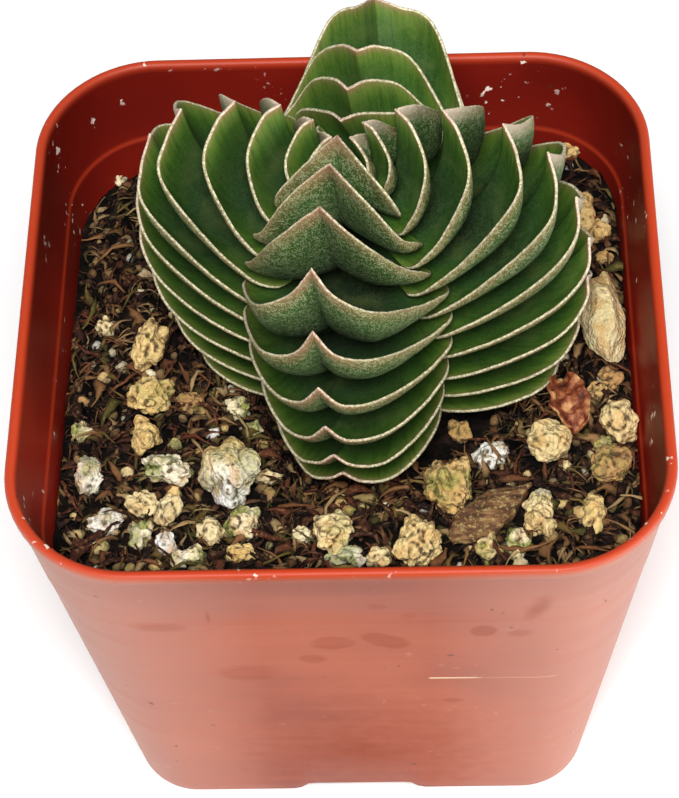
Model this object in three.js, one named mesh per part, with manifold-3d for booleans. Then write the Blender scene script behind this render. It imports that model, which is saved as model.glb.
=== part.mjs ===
// Potted Buddha's Temple crassula: a square nursery pot of gritty soil that holds one short
// column of stacked leaves. Opposite leaves grow in pairs, and each pair is turned a quarter
// turn from the pair above it, so the plant has four upright ranks: front, right, back, left.
// Millimetres, +Z up, origin on the table under the middle of the pot.

import * as THREE from 'three';
import { mergeVertices } from 'three/addons/utils/BufferGeometryUtils.js';
import Module from 'manifold-3d';

const wasm = await Module();
wasm.setup();

// Driving dimensions of the pot: a 3 inch square pot, thin moulded plastic
const rimWidth = 76;
const baseWidth = 61.4;
const potHeight = 71.8;
const wallThickness = 1.1;
const rimCornerRadius = 14.7;
const baseCornerRadius = 9;
const rimRounding = 0.3;
const beadHeight = 1.6;
const beadSlope = 0.5;
const beadProud = 0.35;
const collarInset = 1.35;
const innerLedgeDepth = 12;
const ledgeSlope = 0.4;
const outerStepDepth = 14.5;
const stepWidth = 0.45;
const stepSlope = 0.8;
const footRounding = 0.3;
const footRoundingHeight = 0.6;
const footDraft = 0.2;
const floorHeight = 3.4;
const recessHeight = 2.2;
const notchWidth = 14;
const notchHeight = 2;
const notchSlope = 2.5;
const drainDiameter = 7;
const drainSpacing = 32;
const cutReach = 1;

// Driving dimensions of the soil and of the plant's stand in it
const touchGap = 0.3;
const soilHeight = 56.6;
const soilRiseToRight = 0.055;
const soilRiseToFront = 0.03;
const soilSwell = 0.35;
const hollowHeight = 51.6;
const hollowRise = 0.02;
const hollowReach = 18;
const hollowEnd = 27;
const grainPitch = 2.1;
const grainCount = 230;
const grainField = 74;
const grainSmallest = 1.4;
const grainSpread = 1.6;
const grainRise = 0.75;
const plantFoot = new THREE.Vector3(4.5, 3.5, 56);
const plantTurn = -9.5;
const leanLeft = 4.5;
const leanBack = 3.1;

// Driving dimensions of the stem, with heights above the plant's foot
const stemFootRadius = 3.2;
const stemTopRadius = 1.5;
const stemTop = 33;
const rootDepth = 16;
const rootRadius = 2.2;
const rootTipRadius = 0.8;
const collarDepth = 1;
const budRadius = 0.6;
const budTipRadius = 0.3;
const budHeight = 3.4;

// One leaf at each stage, from the youngest at the top to the oldest at the foot. row counts
// leaf by leaf down one rank. reach is measured out from the stem's axis and height up from
// the plant's foot. The margin runs from the tip over shoulder, lobe and flank to the corner.
// knee says how far out and how high the blade turns up, as shares of the way to the margin,
// then how far out the turn is at least. The young leaves at the front and back close more
// tightly over the middle than those at the right and left; the older ones are all alike.
const outerStages = [
  { row: 4.5, halfWidth: 12.5, tip: [20.4, 39.7], shoulder: [21.8, 36.9], lobe: [21.5, 34.4],
    flank: [14.8, 27.6], corner: [8.4, 23.6], knee: [0.95, 0.08, 0] },
  { row: 6.5, halfWidth: 12.6, tip: [26.1, 26.4], shoulder: [26.1, 23.4], lobe: [23.4, 21.6],
    flank: [17.2, 19.0], corner: [9.6, 16.2], knee: [0.9, 0.15, 0] },
  { row: 8.5, halfWidth: 10.8, tip: [25.5, 12.9], shoulder: [25.6, 11.3], lobe: [23.2, 9.1],
    flank: [17.8, 8.2], corner: [9.2, 6.2], knee: [0.84, 0.22, 0] },
  { row: 10, halfWidth: 9.7, tip: [22.4, 3.5], shoulder: [22.4, 2.3], lobe: [21.1, 1.1],
    flank: [16.6, 0.7], corner: [8.8, 0.0], knee: [0.75, 0.3, 0] },
];
const sideStages = [
  { row: 0, halfWidth: 3.8, tip: [0.95, 38.0], shoulder: [1.8, 37.8], lobe: [2.9, 36.8],
    flank: [3.3, 36.2], corner: [3.2, 35.7], knee: [1, 0.05, 1.5] },
  { row: 1, halfWidth: 4.5, tip: [2.7, 40.6], shoulder: [4.1, 40.1], lobe: [5.6, 37.5],
    flank: [5.7, 35.8], corner: [4.9, 34.2], knee: [1, 0.05, 3.2] },
  { row: 2.5, halfWidth: 9.9, tip: [8.4, 43.3], shoulder: [10.4, 42.2], lobe: [11.9, 38.6],
    flank: [10.2, 33.2], corner: [7.6, 30.4], knee: [0.99, 0.05, 0] },
  ...outerStages,
];
const frontStages = [
  { row: 1.5, halfWidth: 7.5, tip: [1.0, 39.5], shoulder: [2.5, 39.0], lobe: [4.3, 37.5],
    flank: [5.9, 35.7], corner: [6.4, 33.1], knee: [1, 0.05, 4.8] },
  { row: 2.5, halfWidth: 10.0, tip: [5.5, 39.9], shoulder: [7.4, 39.4], lobe: [9.2, 37.1],
    flank: [9.6, 32.4], corner: [7.9, 30.4], knee: [1, 0.05, 3] },
  { row: 3.5, halfWidth: 11.1, tip: [11.7, 39.7], shoulder: [13.3, 38.9], lobe: [14.2, 36.1],
    flank: [12.2, 30.4], corner: [9.4, 27.0], knee: [0.97, 0.06, 0] },
  ...outerStages,
];
// How far the young leaves' margins stand to the left of the stem's line
const youngDrift = 0.65;
const marginShares = [0, 0.2, 0.5, 0.8, 1];
const clasp = 62;
const baseDrop = 2.2;
const baseThickness = 0.85;
const bladeThickness = 1.5;
const youngThickness = 0.5;
const thicknessPerWidth = 0.14;
const thickestAt = 0.6;
const marginThickness = 0.8;
const cornerThickness = 0.6;

// Colours, from the photograph
const potColour = '#c4664c';
const soilColour = '#2e2219';
const leafColour = '#4c6b35';
const stemColour = '#7d7a4a';
const barkColour = '#5b3a22';
const deadLeafColour = '#8a5230';

function degrees(angle) {
  return THREE.MathUtils.degToRad(angle);
}

// A repeatable draw between 0 and 1 for the place of each grain
function seededDraw(seed) {
  let state = seed;
  return function draw() {
    state = (state * 1664525 + 1013904223) % 4294967296;
    return state / 4294967296;
  };
}

// A closed geometry from points and triangles, with shared corners kept shared
function closedGeometry(points, triangles) {
  const places = points.flatMap((point) => point.toArray());
  const geometry = new THREE.BufferGeometry();
  geometry.setAttribute('position', new THREE.Float32BufferAttribute(places, 3));
  geometry.setIndex(triangles.flat());
  return geometry;
}

// Rings of equal length, stacked upwards and joined by a skin, with a flat cap at each end
function skin(rings) {
  const count = rings[0].length;
  const points = rings.flat();
  const triangles = [];
  for (let level = 0; level < rings.length - 1; level += 1) {
    for (let side = 0; side < count; side += 1) {
      const a = level * count + side;
      const b = level * count + ((side + 1) % count);
      triangles.push([a, b, b + count], [a, b + count, a + count]);
    }
  }
  const capped = [rings[0], rings[rings.length - 1]];
  capped.forEach((ring, end) => {
    const middle = ring.reduce((sum, p) => sum.add(p), new THREE.Vector3()).divideScalar(count);
    const centre = points.push(middle) - 1;
    const first = end === 0 ? 0 : (rings.length - 1) * count;
    for (let side = 0; side < count; side += 1) {
      const a = first + side;
      const b = first + ((side + 1) % count);
      triangles.push(end === 0 ? [centre, b, a] : [centre, a, b]);
    }
  });
  return closedGeometry(points, triangles);
}

// The points round the edge of a grid, anticlockwise seen from above
function gridOutline(columns, rows) {
  const outline = [];
  for (let i = 0; i < columns - 1; i += 1) {
    outline.push(i * rows);
  }
  for (let j = 0; j < rows - 1; j += 1) {
    outline.push((columns - 1) * rows + j);
  }
  for (let i = columns - 1; i > 0; i -= 1) {
    outline.push(i * rows + rows - 1);
  }
  for (let j = rows - 1; j > 0; j -= 1) {
    outline.push(j);
  }
  return outline;
}

// A thin closed body from an upper and a lower grid of points, with its edge all round.
// Both faces are split alike, and slopeLeft says which way each column's squares are split
function plate(upper, lower, columns, rows, slopeLeft) {
  const points = [...upper, ...lower];
  const offset = upper.length;
  const triangles = [];
  for (let i = 0; i < columns - 1; i += 1) {
    for (let j = 0; j < rows - 1; j += 1) {
      const a = i * rows + j;
      const b = a + rows;
      const faces = slopeLeft(i)
        ? [[a, a + 1, b], [a + 1, b + 1, b]]
        : [[a, a + 1, b + 1], [a, b + 1, b]];
      faces.forEach(([p, q, r]) => {
        triangles.push([p, q, r], [p + offset, r + offset, q + offset]);
      });
    }
  }
  gridOutline(columns, rows).forEach((p, k, outline) => {
    const q = outline[(k + 1) % outline.length];
    triangles.push([p, q, q + offset], [p, q + offset, p + offset]);
  });
  return closedGeometry(points, triangles);
}

// A square with round corners, anticlockwise seen from above
function roundedSquare(halfWidth, cornerRadius, height, cornerSteps = 6) {
  const ring = [];
  for (let corner = 0; corner < 4; corner += 1) {
    for (let step = 0; step <= cornerSteps; step += 1) {
      const angle = degrees(90 * (corner + step / cornerSteps));
      const centreX = (halfWidth - cornerRadius) * (corner === 0 || corner === 3 ? 1 : -1);
      const centreY = (halfWidth - cornerRadius) * (corner < 2 ? 1 : -1);
      ring.push(new THREE.Vector3(
        centreX + cornerRadius * Math.cos(angle),
        centreY + cornerRadius * Math.sin(angle),
        height,
      ));
    }
  }
  return ring;
}

function toSolid(geometry) {
  const bare = geometry.clone();
  bare.deleteAttribute('normal');
  bare.deleteAttribute('uv');
  const merged = mergeVertices(bare, 1e-4);
  return new wasm.Manifold(new wasm.Mesh({
    numProp: 3,
    vertProperties: new Float32Array(merged.attributes.position.array),
    triVerts: new Uint32Array(merged.index.array),
  }));
}

function toGeometry(solid) {
  const mesh = solid.getMesh();
  const geometry = new THREE.BufferGeometry();
  geometry.setAttribute('position', new THREE.BufferAttribute(mesh.vertProperties, 3));
  geometry.setIndex(new THREE.BufferAttribute(mesh.triVerts, 1));
  return geometry;
}

function finish(colour, roughness) {
  return new THREE.MeshStandardMaterial({ color: colour, roughness, metalness: 0 });
}

const object = new THREE.Group();

function addPiece(parent, name, geometry, material) {
  const mesh = new THREE.Mesh(geometry, material);
  mesh.name = name;
  parent.add(mesh);
  return mesh;
}

// Pot: the outside tapers from rim to foot and steps in under the collar
function potHalfWidth(height) {
  return (baseWidth + (rimWidth - baseWidth) * (height / potHeight)) / 2;
}

function potCornerRadius(height) {
  return baseCornerRadius + (rimCornerRadius - baseCornerRadius) * (height / potHeight);
}

function potRing(height, inset) {
  return roundedSquare(potHalfWidth(height) - inset, potCornerRadius(height) - inset, height);
}

function potSolid() {
  const stepHeight = potHeight - outerStepDepth;
  const ledgeHeight = potHeight - innerLedgeDepth;
  const beadBottom = potHeight - beadHeight;
  const outside = toSolid(skin([
    potRing(0, stepWidth + footRounding),
    potRing(footRoundingHeight, stepWidth),
    potRing(stepHeight - stepSlope, stepWidth),
    potRing(stepHeight, beadProud),
    potRing(beadBottom - beadSlope, beadProud),
    potRing(beadBottom, 0),
    potRing(potHeight - rimRounding, 0),
    potRing(potHeight, rimRounding),
  ]));
  const inside = toSolid(skin([
    potRing(floorHeight, stepWidth + wallThickness),
    potRing(ledgeHeight, stepWidth + wallThickness),
    potRing(ledgeHeight + ledgeSlope, collarInset),
    potRing(potHeight - rimRounding, collarInset),
    potRing(potHeight + rimRounding, collarInset - rimRounding),
  ]));
  const recess = toSolid(skin([
    potRing(-cutReach, stepWidth + footRounding + wallThickness),
    potRing(recessHeight, stepWidth + footRounding + wallThickness + footDraft),
  ]));
  let pot = outside.subtract(inside).subtract(recess);
  for (let side = 0; side < 4; side += 1) {
    pot = pot.subtract(toSolid(notchCutter(side)));
    const angle = degrees(45 + 90 * side);
    const drainDepth = floorHeight - recessHeight + 2 * cutReach;
    const drain = new THREE.CylinderGeometry(drainDiameter / 2, drainDiameter / 2, drainDepth, 20);
    drain.rotateX(Math.PI / 2);
    drain.translate(
      drainSpacing * Math.SQRT1_2 * Math.cos(angle),
      drainSpacing * Math.SQRT1_2 * Math.sin(angle),
      (floorHeight + recessHeight) / 2,
    );
    pot = pot.subtract(toSolid(drain));
  }
  return pot;
}

// The gap with sloping ends that lets water out between two feet of the pot
function notchCutter(side) {
  const depth = 6;
  const insideWall = 3.5;
  const shape = new THREE.Shape();
  shape.moveTo(-notchWidth / 2 - notchSlope, -cutReach);
  shape.lineTo(notchWidth / 2 + notchSlope, -cutReach);
  shape.lineTo(notchWidth / 2, notchHeight);
  shape.lineTo(-notchWidth / 2, notchHeight);
  const cutter = new THREE.ExtrudeGeometry(shape, { depth, bevelEnabled: false });
  cutter.rotateX(Math.PI / 2);
  cutter.translate(0, insideWall - potHalfWidth(0), 0);
  cutter.rotateZ(degrees(90 * side));
  return cutter;
}

addPiece(object, 'pot', toGeometry(potSolid()), finish(potColour, 0.45));

// Plant: the ranks hang in one group that is turned and leans a little
const plant = new THREE.Group();
plant.position.copy(plantFoot);
plant.rotation.set(degrees(-leanBack), degrees(-leanLeft), degrees(plantTurn));
object.add(plant);

// A value of the leaf at any row, from a smooth curve through the stages
function stageValue(leaf, pick) {
  const { stages, row } = leaf;
  const last = stages.length - 1;
  let k = 0;
  while (k < last - 1 && row > stages[k + 1].row) {
    k += 1;
  }
  const before = stages[Math.max(k - 1, 0)];
  const start = stages[k];
  const end = stages[k + 1];
  const after = stages[Math.min(k + 2, last)];
  const span = end.row - start.row;
  const startSlope = (pick(end) - pick(before)) / (end.row - before.row);
  const endSlope = (pick(after) - pick(start)) / (after.row - start.row);
  const x = (row - start.row) / span;
  const x2 = x * x;
  const x3 = x2 * x;
  return pick(start) * (2 * x3 - 3 * x2 + 1) + pick(end) * (3 * x2 - 2 * x3)
    + span * (startSlope * (x3 - 2 * x2 + x) + endSlope * (x3 - x2));
}

function stemRadiusAt(height) {
  const share = THREE.MathUtils.clamp(height / stemTop, 0, 1);
  return stemFootRadius + (stemTopRadius - stemFootRadius) * share;
}

// Half of a leaf's margin in the leaf's own frame: x out from the stem, y across, z up
function marginCurve(leaf) {
  const halfWidth = stageValue(leaf, (stage) => stage.halfWidth);
  const names = ['tip', 'shoulder', 'lobe', 'flank', 'corner'];
  const points = names.map((name, k) => new THREE.Vector3(
    stageValue(leaf, (stage) => stage[name][0]),
    marginShares[k] * halfWidth,
    stageValue(leaf, (stage) => stage[name][1]),
  ));
  return new THREE.CatmullRomCurve3(points, false, 'catmullrom', 0.5);
}

// The upper face: each line runs from the stem out to a knee and up to the margin
function upperFace(leaf, share, length) {
  const margin = marginCurve(leaf).getPoint(Math.abs(share));
  const baseHeight = stageValue(leaf, (stage) => stage.corner[1]) - baseDrop;
  const angle = degrees(clasp) * Math.abs(share);
  const baseRadius = stemRadiusAt(baseHeight) + touchGap;
  const base = new THREE.Vector3(
    baseRadius * Math.cos(angle),
    baseRadius * Math.sin(angle),
    baseHeight,
  );
  const kneeReach = stageValue(leaf, (stage) => stage.knee[0]);
  const kneeRise = stageValue(leaf, (stage) => stage.knee[1]);
  const kneeLeast = stageValue(leaf, (stage) => stage.knee[2]);
  const knee = new THREE.Vector3(
    Math.max(margin.x * kneeReach, kneeLeast),
    margin.y * kneeReach,
    base.z + (margin.z - base.z) * kneeRise,
  );
  const line = new THREE.QuadraticBezierCurve3(base, knee, margin);
  const point = line.getPoint(length);
  point.y *= Math.sign(share) || 0;
  point.x += leaf.drift.x * length ** 2;
  point.y += leaf.drift.y * length ** 2;
  return point;
}

function thicknessAt(leaf, share, length) {
  const halfWidth = stageValue(leaf, (stage) => stage.halfWidth);
  const blade = Math.min(youngThickness + thicknessPerWidth * halfWidth, bladeThickness);
  const towardsMargin = (length - thickestAt) / (1 - thickestAt);
  const middle = length < thickestAt
    ? THREE.MathUtils.lerp(baseThickness, blade, length / thickestAt)
    : THREE.MathUtils.lerp(blade, marginThickness, towardsMargin);
  return THREE.MathUtils.lerp(middle, cornerThickness, Math.abs(share) ** 1.5);
}

function leafGeometry(leaf) {
  const shares = [-1, -0.86, -0.66, -0.42, -0.2, 0, 0.2, 0.42, 0.66, 0.86, 1];
  const lengths = [0, 0.34, 0.62, 0.84, 1];
  const upper = [];
  const lower = [];
  const nudge = 0.02;
  shares.forEach((share) => {
    lengths.forEach((length) => {
      const point = upperFace(leaf, share, length);
      const side = share === 0 ? 0 : Math.sign(share);
      const inward = upperFace(leaf, share - nudge * side, length);
      const sideStep = side === 0
        ? new THREE.Vector3(0, 1, 0)
        : point.clone().sub(inward).multiplyScalar(side);
      const back = upperFace(leaf, share, Math.max(length - nudge, 0));
      const ahead = upperFace(leaf, share, Math.min(length + nudge, 1));
      const under = sideStep.cross(ahead.sub(back)).normalize();
      upper.push(point);
      lower.push(point.clone().addScaledVector(under, thicknessAt(leaf, share, length)));
    });
  });
  return plate(upper, lower, shares.length, lengths.length, (column) => shares[column] < 0);
}

const leafFinish = finish(leafColour, 0.6);
const ranks = {
  right: { angle: 0, stages: sideStages, leaves: 11, driftRows: [1, 2.5] },
  back: { angle: 90, stages: frontStages, leaves: 9, driftRows: [3.5, 4.5] },
  left: { angle: 180, stages: sideStages, leaves: 11, driftRows: [3.5, 6.5] },
  front: { angle: -90, stages: frontStages, leaves: 9, driftRows: [3.5, 4.5] },
};

Object.entries(ranks).forEach(([rank, { angle, stages, leaves, driftRows }]) => {
  for (let k = 0; k < leaves; k += 1) {
    const row = stages[0].row + k;
    const drift = youngDrift * (1 - THREE.MathUtils.smoothstep(row, ...driftRows));
    const leaf = {
      row,
      stages,
      drift: new THREE.Vector2(
        -drift * Math.cos(degrees(angle)),
        drift * Math.sin(degrees(angle)),
      ),
    };
    const name = `leaf_${rank}_${String(k + 1).padStart(2, '0')}`;
    const mesh = addPiece(plant, name, leafGeometry(leaf), leafFinish);
    mesh.rotation.z = degrees(angle);
  }
});

// Stem: a slim cone from the root up to the bud, hidden between the leaves
function ring(radius, height, sides = 14) {
  const points = [];
  for (let side = 0; side < sides; side += 1) {
    const angle = (2 * Math.PI * side) / sides;
    points.push(new THREE.Vector3(radius * Math.cos(angle), radius * Math.sin(angle), height));
  }
  return points;
}

function stemRings(extra) {
  return [
    ring(rootTipRadius + extra, -rootDepth - extra),
    ring(rootRadius + extra, -rootDepth * 0.7),
    ring(stemFootRadius + extra, -collarDepth),
    ring(stemFootRadius + extra, 0),
    ring(stemTopRadius + extra, stemTop),
  ];
}

addPiece(plant, 'stem', skin(stemRings(0)), finish(stemColour, 0.8));

const budSides = 8;
addPiece(plant, 'bud', skin([
  ring(budRadius, stemTop + touchGap, budSides),
  ring(budRadius, stemTop + budHeight / 2, budSides),
  ring(budTipRadius, stemTop + budHeight, budSides),
]), leafFinish);

// Stones, bark and a dead leaf that lie in the soil. Each stone has its own place and size:
// centre across and towards the back, height of its middle, then its three diameters and turn
const stoneColours = { cream: '#dfc58b', mossy: '#b9b57c', tan: '#c9a269' };
const stones = [
  { name: 'stone_tan_large', tone: 'tan', at: [31.6, 3.7, 60.8], size: [5.6, 12.2, 7], turn: 8 },
  { name: 'stone_tan_back', tone: 'tan', at: [29.2, 21.0, 59.6], size: [6.2, 7.0, 5.5], turn: -25 },
  { name: 'stone_white_large', tone: 'mossy', at: [-13.5, -16.3, 58.6], size: [7.6, 9.0, 7], turn: 15 },
  { name: 'stone_tan_rough', tone: 'tan', at: [12.3, -18.6, 59.0], size: [6.0, 8.0, 6], turn: 10 },
  { name: 'stone_cream_front', tone: 'cream', at: [8.8, -27.0, 59.6], size: [5.6, 7.0, 6], turn: -20 },
  { name: 'stone_cream_right', tone: 'cream', at: [24.4, -13.3, 59.8], size: [5.4, 5.6, 5], turn: 0 },
  { name: 'stone_cream_wall', tone: 'cream', at: [32.6, -11.0, 60.6], size: [4.6, 6.2, 5], turn: 12 },
  { name: 'stone_left_long', tone: 'cream', at: [-24.0, 3.2, 57.8], size: [4.4, 7.4, 5], turn: -18 },
  { name: 'stone_left_tan', tone: 'tan', at: [-23.7, -4.3, 57.8], size: [6.0, 4.8, 4.4], turn: 5 },
  { name: 'stone_left_cream', tone: 'cream', at: [-24.2, -9.9, 57.8], size: [3.8, 5.0, 4.2], turn: 20 },
  { name: 'stone_left_mossy', tone: 'mossy', at: [-21.2, -14.8, 57.6], size: [6.2, 3.4, 4], turn: -12 },
  { name: 'stone_front_left', tone: 'cream', at: [-1.1, -25.1, 58.6], size: [5.0, 4.8, 4.6], turn: 40 },
  { name: 'stone_front_right', tone: 'cream', at: [22.8, -24.6, 59.9], size: [3.8, 5.2, 4.6], turn: 15 },
];
const stoneLumpiness = 0.09;
const stoneSeed = 400;
const seedStride = 7919;

function lumpyStone(stone, extra) {
  const seed = stoneSeed + stone.name.length * seedStride + Math.round(stone.at[0] * 10);
  const draw = seededDraw(seed);
  const phases = [draw(), draw(), draw()].map((value) => value * 2 * Math.PI);
  const geometry = new THREE.IcosahedronGeometry(1, 1);
  geometry.deleteAttribute('normal');
  geometry.deleteAttribute('uv');
  const merged = mergeVertices(geometry, 1e-4);
  const place = merged.attributes.position;
  const point = new THREE.Vector3();
  for (let k = 0; k < place.count; k += 1) {
    point.fromBufferAttribute(place, k).normalize();
    const lump = 1 + stoneLumpiness * (Math.sin(3 * point.x + phases[0])
      + Math.sin(4 * point.y + phases[1]) + Math.sin(3 * point.z + phases[2]));
    point.multiplyScalar(lump);
    place.setXYZ(
      k,
      point.x * (stone.size[0] / 2 + extra),
      point.y * (stone.size[1] / 2 + extra),
      point.z * (stone.size[2] / 2 + extra),
    );
  }
  merged.rotateZ(degrees(stone.turn));
  merged.translate(...stone.at);
  return merged;
}

stones.forEach((stone) => {
  addPiece(object, stone.name, lumpyStone(stone, 0), finish(stoneColours[stone.tone], 0.9));
});

// A chip of bark, a flat sliver with blunt ends. Each section says how far along it lies,
// then its half width and half height
const barkSections = [[-5.6, 0.9, 0.6], [-3.2, 2.2, 1.2], [1.4, 2.4, 1.4], [5.6, 0.8, 0.6]];
const barkSides = 8;
const barkAt = [17.0, -23.4, 60.5];
const barkTurn = 32;
const barkTilt = 12;

function barkChip(extra) {
  const rings = barkSections.map(([along, halfWidth, halfHeight]) => {
    const section = [];
    for (let side = 0; side < barkSides; side += 1) {
      const angle = (2 * Math.PI * side) / barkSides;
      section.push(new THREE.Vector3(
        (halfWidth + extra) * Math.cos(angle),
        (halfHeight + extra) * Math.sin(angle),
        along + extra * Math.sign(along),
      ));
    }
    return section;
  });
  const chip = skin(rings);
  chip.rotateY(Math.PI / 2);
  chip.rotateX(degrees(90));
  chip.rotateY(degrees(-barkTilt));
  chip.rotateZ(degrees(barkTurn));
  chip.translate(...barkAt);
  return chip;
}

addPiece(object, 'bark_chip', barkChip(0), finish(barkColour, 0.95));

// A dry, curled leaf that was shed on the soil: a narrow trough with a bent back
const deadLeafAt = [26.9, -8.4, 60.9];
const deadLeafLength = 7.6;
const deadLeafWidth = 4.6;
const deadLeafThickness = 0.6;
const deadLeafCurl = 1.5;
const deadLeafArch = 0.5;
const deadLeafTurn = 12;

function deadLeaf(extra) {
  const columns = 7;
  const rows = 6;
  const upper = [];
  const lower = [];
  for (let i = 0; i < columns; i += 1) {
    for (let j = 0; j < rows; j += 1) {
      const across = 1 - (2 * i) / (columns - 1);
      const along = (2 * j) / (rows - 1) - 1;
      const halfWidth = (deadLeafWidth / 2) * Math.sqrt(1.05 - along * along) + extra;
      const halfLength = deadLeafLength / 2 + extra;
      const arch = deadLeafCurl * (across * across - 0.5) + deadLeafArch * Math.cos(2.4 * along);
      const thickness = deadLeafThickness / 2 + 1.3 * extra;
      upper.push(new THREE.Vector3(across * halfWidth, along * halfLength, arch + thickness));
      lower.push(new THREE.Vector3(across * halfWidth, along * halfLength, arch - thickness));
    }
  }
  const geometry = plate(upper, lower, columns, rows, () => true);
  geometry.rotateZ(degrees(deadLeafTurn));
  geometry.translate(...deadLeafAt);
  return geometry;
}

addPiece(object, 'dead_leaf', deadLeaf(0), finish(deadLeafColour, 0.85));

// Soil: fills the pot, with a top of low grains, the stem's hole and the stones' seats.
// Below the lowest leaves its top is a smooth, shallow hollow
function grainRelief() {
  const draw = seededDraw(20611);
  const grains = [];
  for (let k = 0; k < grainCount; k += 1) {
    grains.push({
      x: (draw() - 0.5) * grainField,
      y: (draw() - 0.5) * grainField,
      radius: grainSmallest + grainSpread * draw() ** 2,
    });
  }
  return function heightAt(x, y) {
    let bump = 0;
    grains.forEach((grain) => {
      const away = Math.hypot(x - grain.x, y - grain.y) / grain.radius;
      if (away < 1) {
        bump = Math.max(bump, grainRise * grain.radius * Math.sqrt(1 - away * away));
      }
    });
    const slope = soilRiseToRight * x - soilRiseToFront * y;
    const fromStem = Math.hypot(x - plantFoot.x, y - plantFoot.y);
    const clearOfLeaves = THREE.MathUtils.smoothstep(fromStem, hollowReach, hollowEnd);
    const swell = soilSwell * Math.sin(x * 0.31 + 1) * Math.cos(y * 0.27);
    const hollow = hollowHeight + hollowRise * fromStem;
    return THREE.MathUtils.lerp(hollow, soilHeight + slope + swell + bump, clearOfLeaves);
  };
}

function soilGeometry() {
  const heightAt = grainRelief();
  const half = 40;
  const cells = Math.round((2 * half) / grainPitch);
  const points = [];
  for (let i = 0; i <= cells; i += 1) {
    for (let j = 0; j <= cells; j += 1) {
      const x = -half + (2 * half * i) / cells;
      const y = -half + (2 * half * j) / cells;
      points.push(new THREE.Vector3(x, y, heightAt(x, y)));
    }
  }
  const side = cells + 1;
  const triangles = [];
  for (let i = 0; i < cells; i += 1) {
    for (let j = 0; j < cells; j += 1) {
      const a = i * side + j;
      triangles.push([a, a + side, a + side + 1], [a, a + side + 1, a + 1]);
    }
  }
  const rim = gridOutline(side, side);
  const below = rim.map((k) => points.push(new THREE.Vector3(points[k].x, points[k].y, 0)) - 1);
  const middle = points.push(new THREE.Vector3(0, 0, 0)) - 1;
  rim.forEach((top, k) => {
    const next = (k + 1) % rim.length;
    triangles.push([top, below[k], below[next]], [top, below[next], rim[next]]);
    triangles.push([middle, below[next], below[k]]);
  });
  return closedGeometry(points, triangles);
}

function soilSolid() {
  const inset = stepWidth + wallThickness + touchGap;
  const ledge = potHeight - innerLedgeDepth - touchGap;
  const filling = toSolid(skin([
    potRing(floorHeight + touchGap, inset),
    potRing(ledge, inset),
    potRing(potHeight, inset),
  ]));
  let soil = filling.intersect(toSolid(soilGeometry()));
  plant.updateMatrixWorld(true);
  const aboveSoil = 8;
  const hole = skin([
    ...stemRings(touchGap).slice(0, 4),
    ring(stemFootRadius + touchGap, aboveSoil),
  ]);
  soil = soil.subtract(toSolid(hole.applyMatrix4(plant.matrixWorld)));
  stones.forEach((stone) => {
    soil = soil.subtract(toSolid(lumpyStone(stone, touchGap)));
  });
  return soil.subtract(toSolid(barkChip(touchGap))).subtract(toSolid(deadLeaf(touchGap)));
}

addPiece(object, 'soil', toGeometry(soilSolid()), finish(soilColour, 0.95));

export default object;
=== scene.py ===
# A potted Buddha's Temple crassula: a short column of stacked, upturned leaves in gritty soil,
# in a thin square nursery pot. Metres, +Z up, the pot's middle on the table at the origin.
import math
import random

import bmesh
import bpy
from mathutils import Matrix, Vector, noise


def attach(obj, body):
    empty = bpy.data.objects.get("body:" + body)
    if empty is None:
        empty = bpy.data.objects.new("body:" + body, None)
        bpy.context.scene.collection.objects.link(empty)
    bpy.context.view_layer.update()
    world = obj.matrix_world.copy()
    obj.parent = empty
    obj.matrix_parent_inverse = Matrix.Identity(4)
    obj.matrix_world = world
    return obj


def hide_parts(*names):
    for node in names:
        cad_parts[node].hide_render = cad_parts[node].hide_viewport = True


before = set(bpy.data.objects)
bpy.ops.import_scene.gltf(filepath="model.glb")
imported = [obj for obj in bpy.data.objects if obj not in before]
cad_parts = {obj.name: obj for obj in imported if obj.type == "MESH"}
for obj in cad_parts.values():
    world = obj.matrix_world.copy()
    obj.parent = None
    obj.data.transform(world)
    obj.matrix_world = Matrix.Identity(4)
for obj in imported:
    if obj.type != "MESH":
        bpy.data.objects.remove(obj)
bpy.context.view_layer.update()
mm = 0.001


# Camera
# It looks steeply down on the pot's front side, from about 30 cm, slightly from the right.
# The photograph is 679 by 798 pixels, and its focal length was found from the pot's outline.
photo_width = 679
photo_height = 798
focal_pixels = 2390
camera_at = Vector((9.8, -167.3, 298.5)) * mm
camera_target = Vector((-1.56, 9.42, 35.9)) * mm
camera_roll = math.radians(-4.1)
sight_steps = 12

ahead = (camera_target - camera_at).normalized()
level = ahead.cross(Vector((0, 0, 1))).normalized()
upright = level.cross(ahead)
right = level * math.cos(camera_roll) + upright * math.sin(camera_roll)
above = upright * math.cos(camera_roll) - level * math.sin(camera_roll)

camera_data = bpy.data.cameras.new("photo_camera")
camera_data.sensor_fit = "VERTICAL"
camera_data.sensor_height = 36
camera_data.lens = focal_pixels / photo_height * camera_data.sensor_height
camera_data.clip_start = 0.01
camera = bpy.data.objects.new("photo_camera", camera_data)
camera.matrix_world = Matrix.Translation(camera_at) @ Matrix((right, above, -ahead)).transposed().to_4x4()
bpy.context.collection.objects.link(camera)
bpy.context.scene.camera = camera


def line_of_sight(pixel_x, pixel_y):
    """The way from the camera through a pixel of the photograph"""
    return (ahead + right * ((pixel_x - photo_width / 2) / focal_pixels)
            - above * ((pixel_y - photo_height / 2) / focal_pixels))


# Studio
# A pale table, one large soft light above and in front, weaker ones from both sides,
# and an even white room all round. Colours are shown as they are, with no film curve.
def linear(hex_colour):
    """An sRGB hex colour as the linear RGBA that the shader wants"""
    shares = [int(hex_colour[k:k + 2], 16) / 255 for k in (1, 3, 5)]
    return tuple(s / 12.92 if s <= 0.04045 else ((s + 0.055) / 1.055) ** 2.4 for s in shares) + (1.0,)


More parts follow.
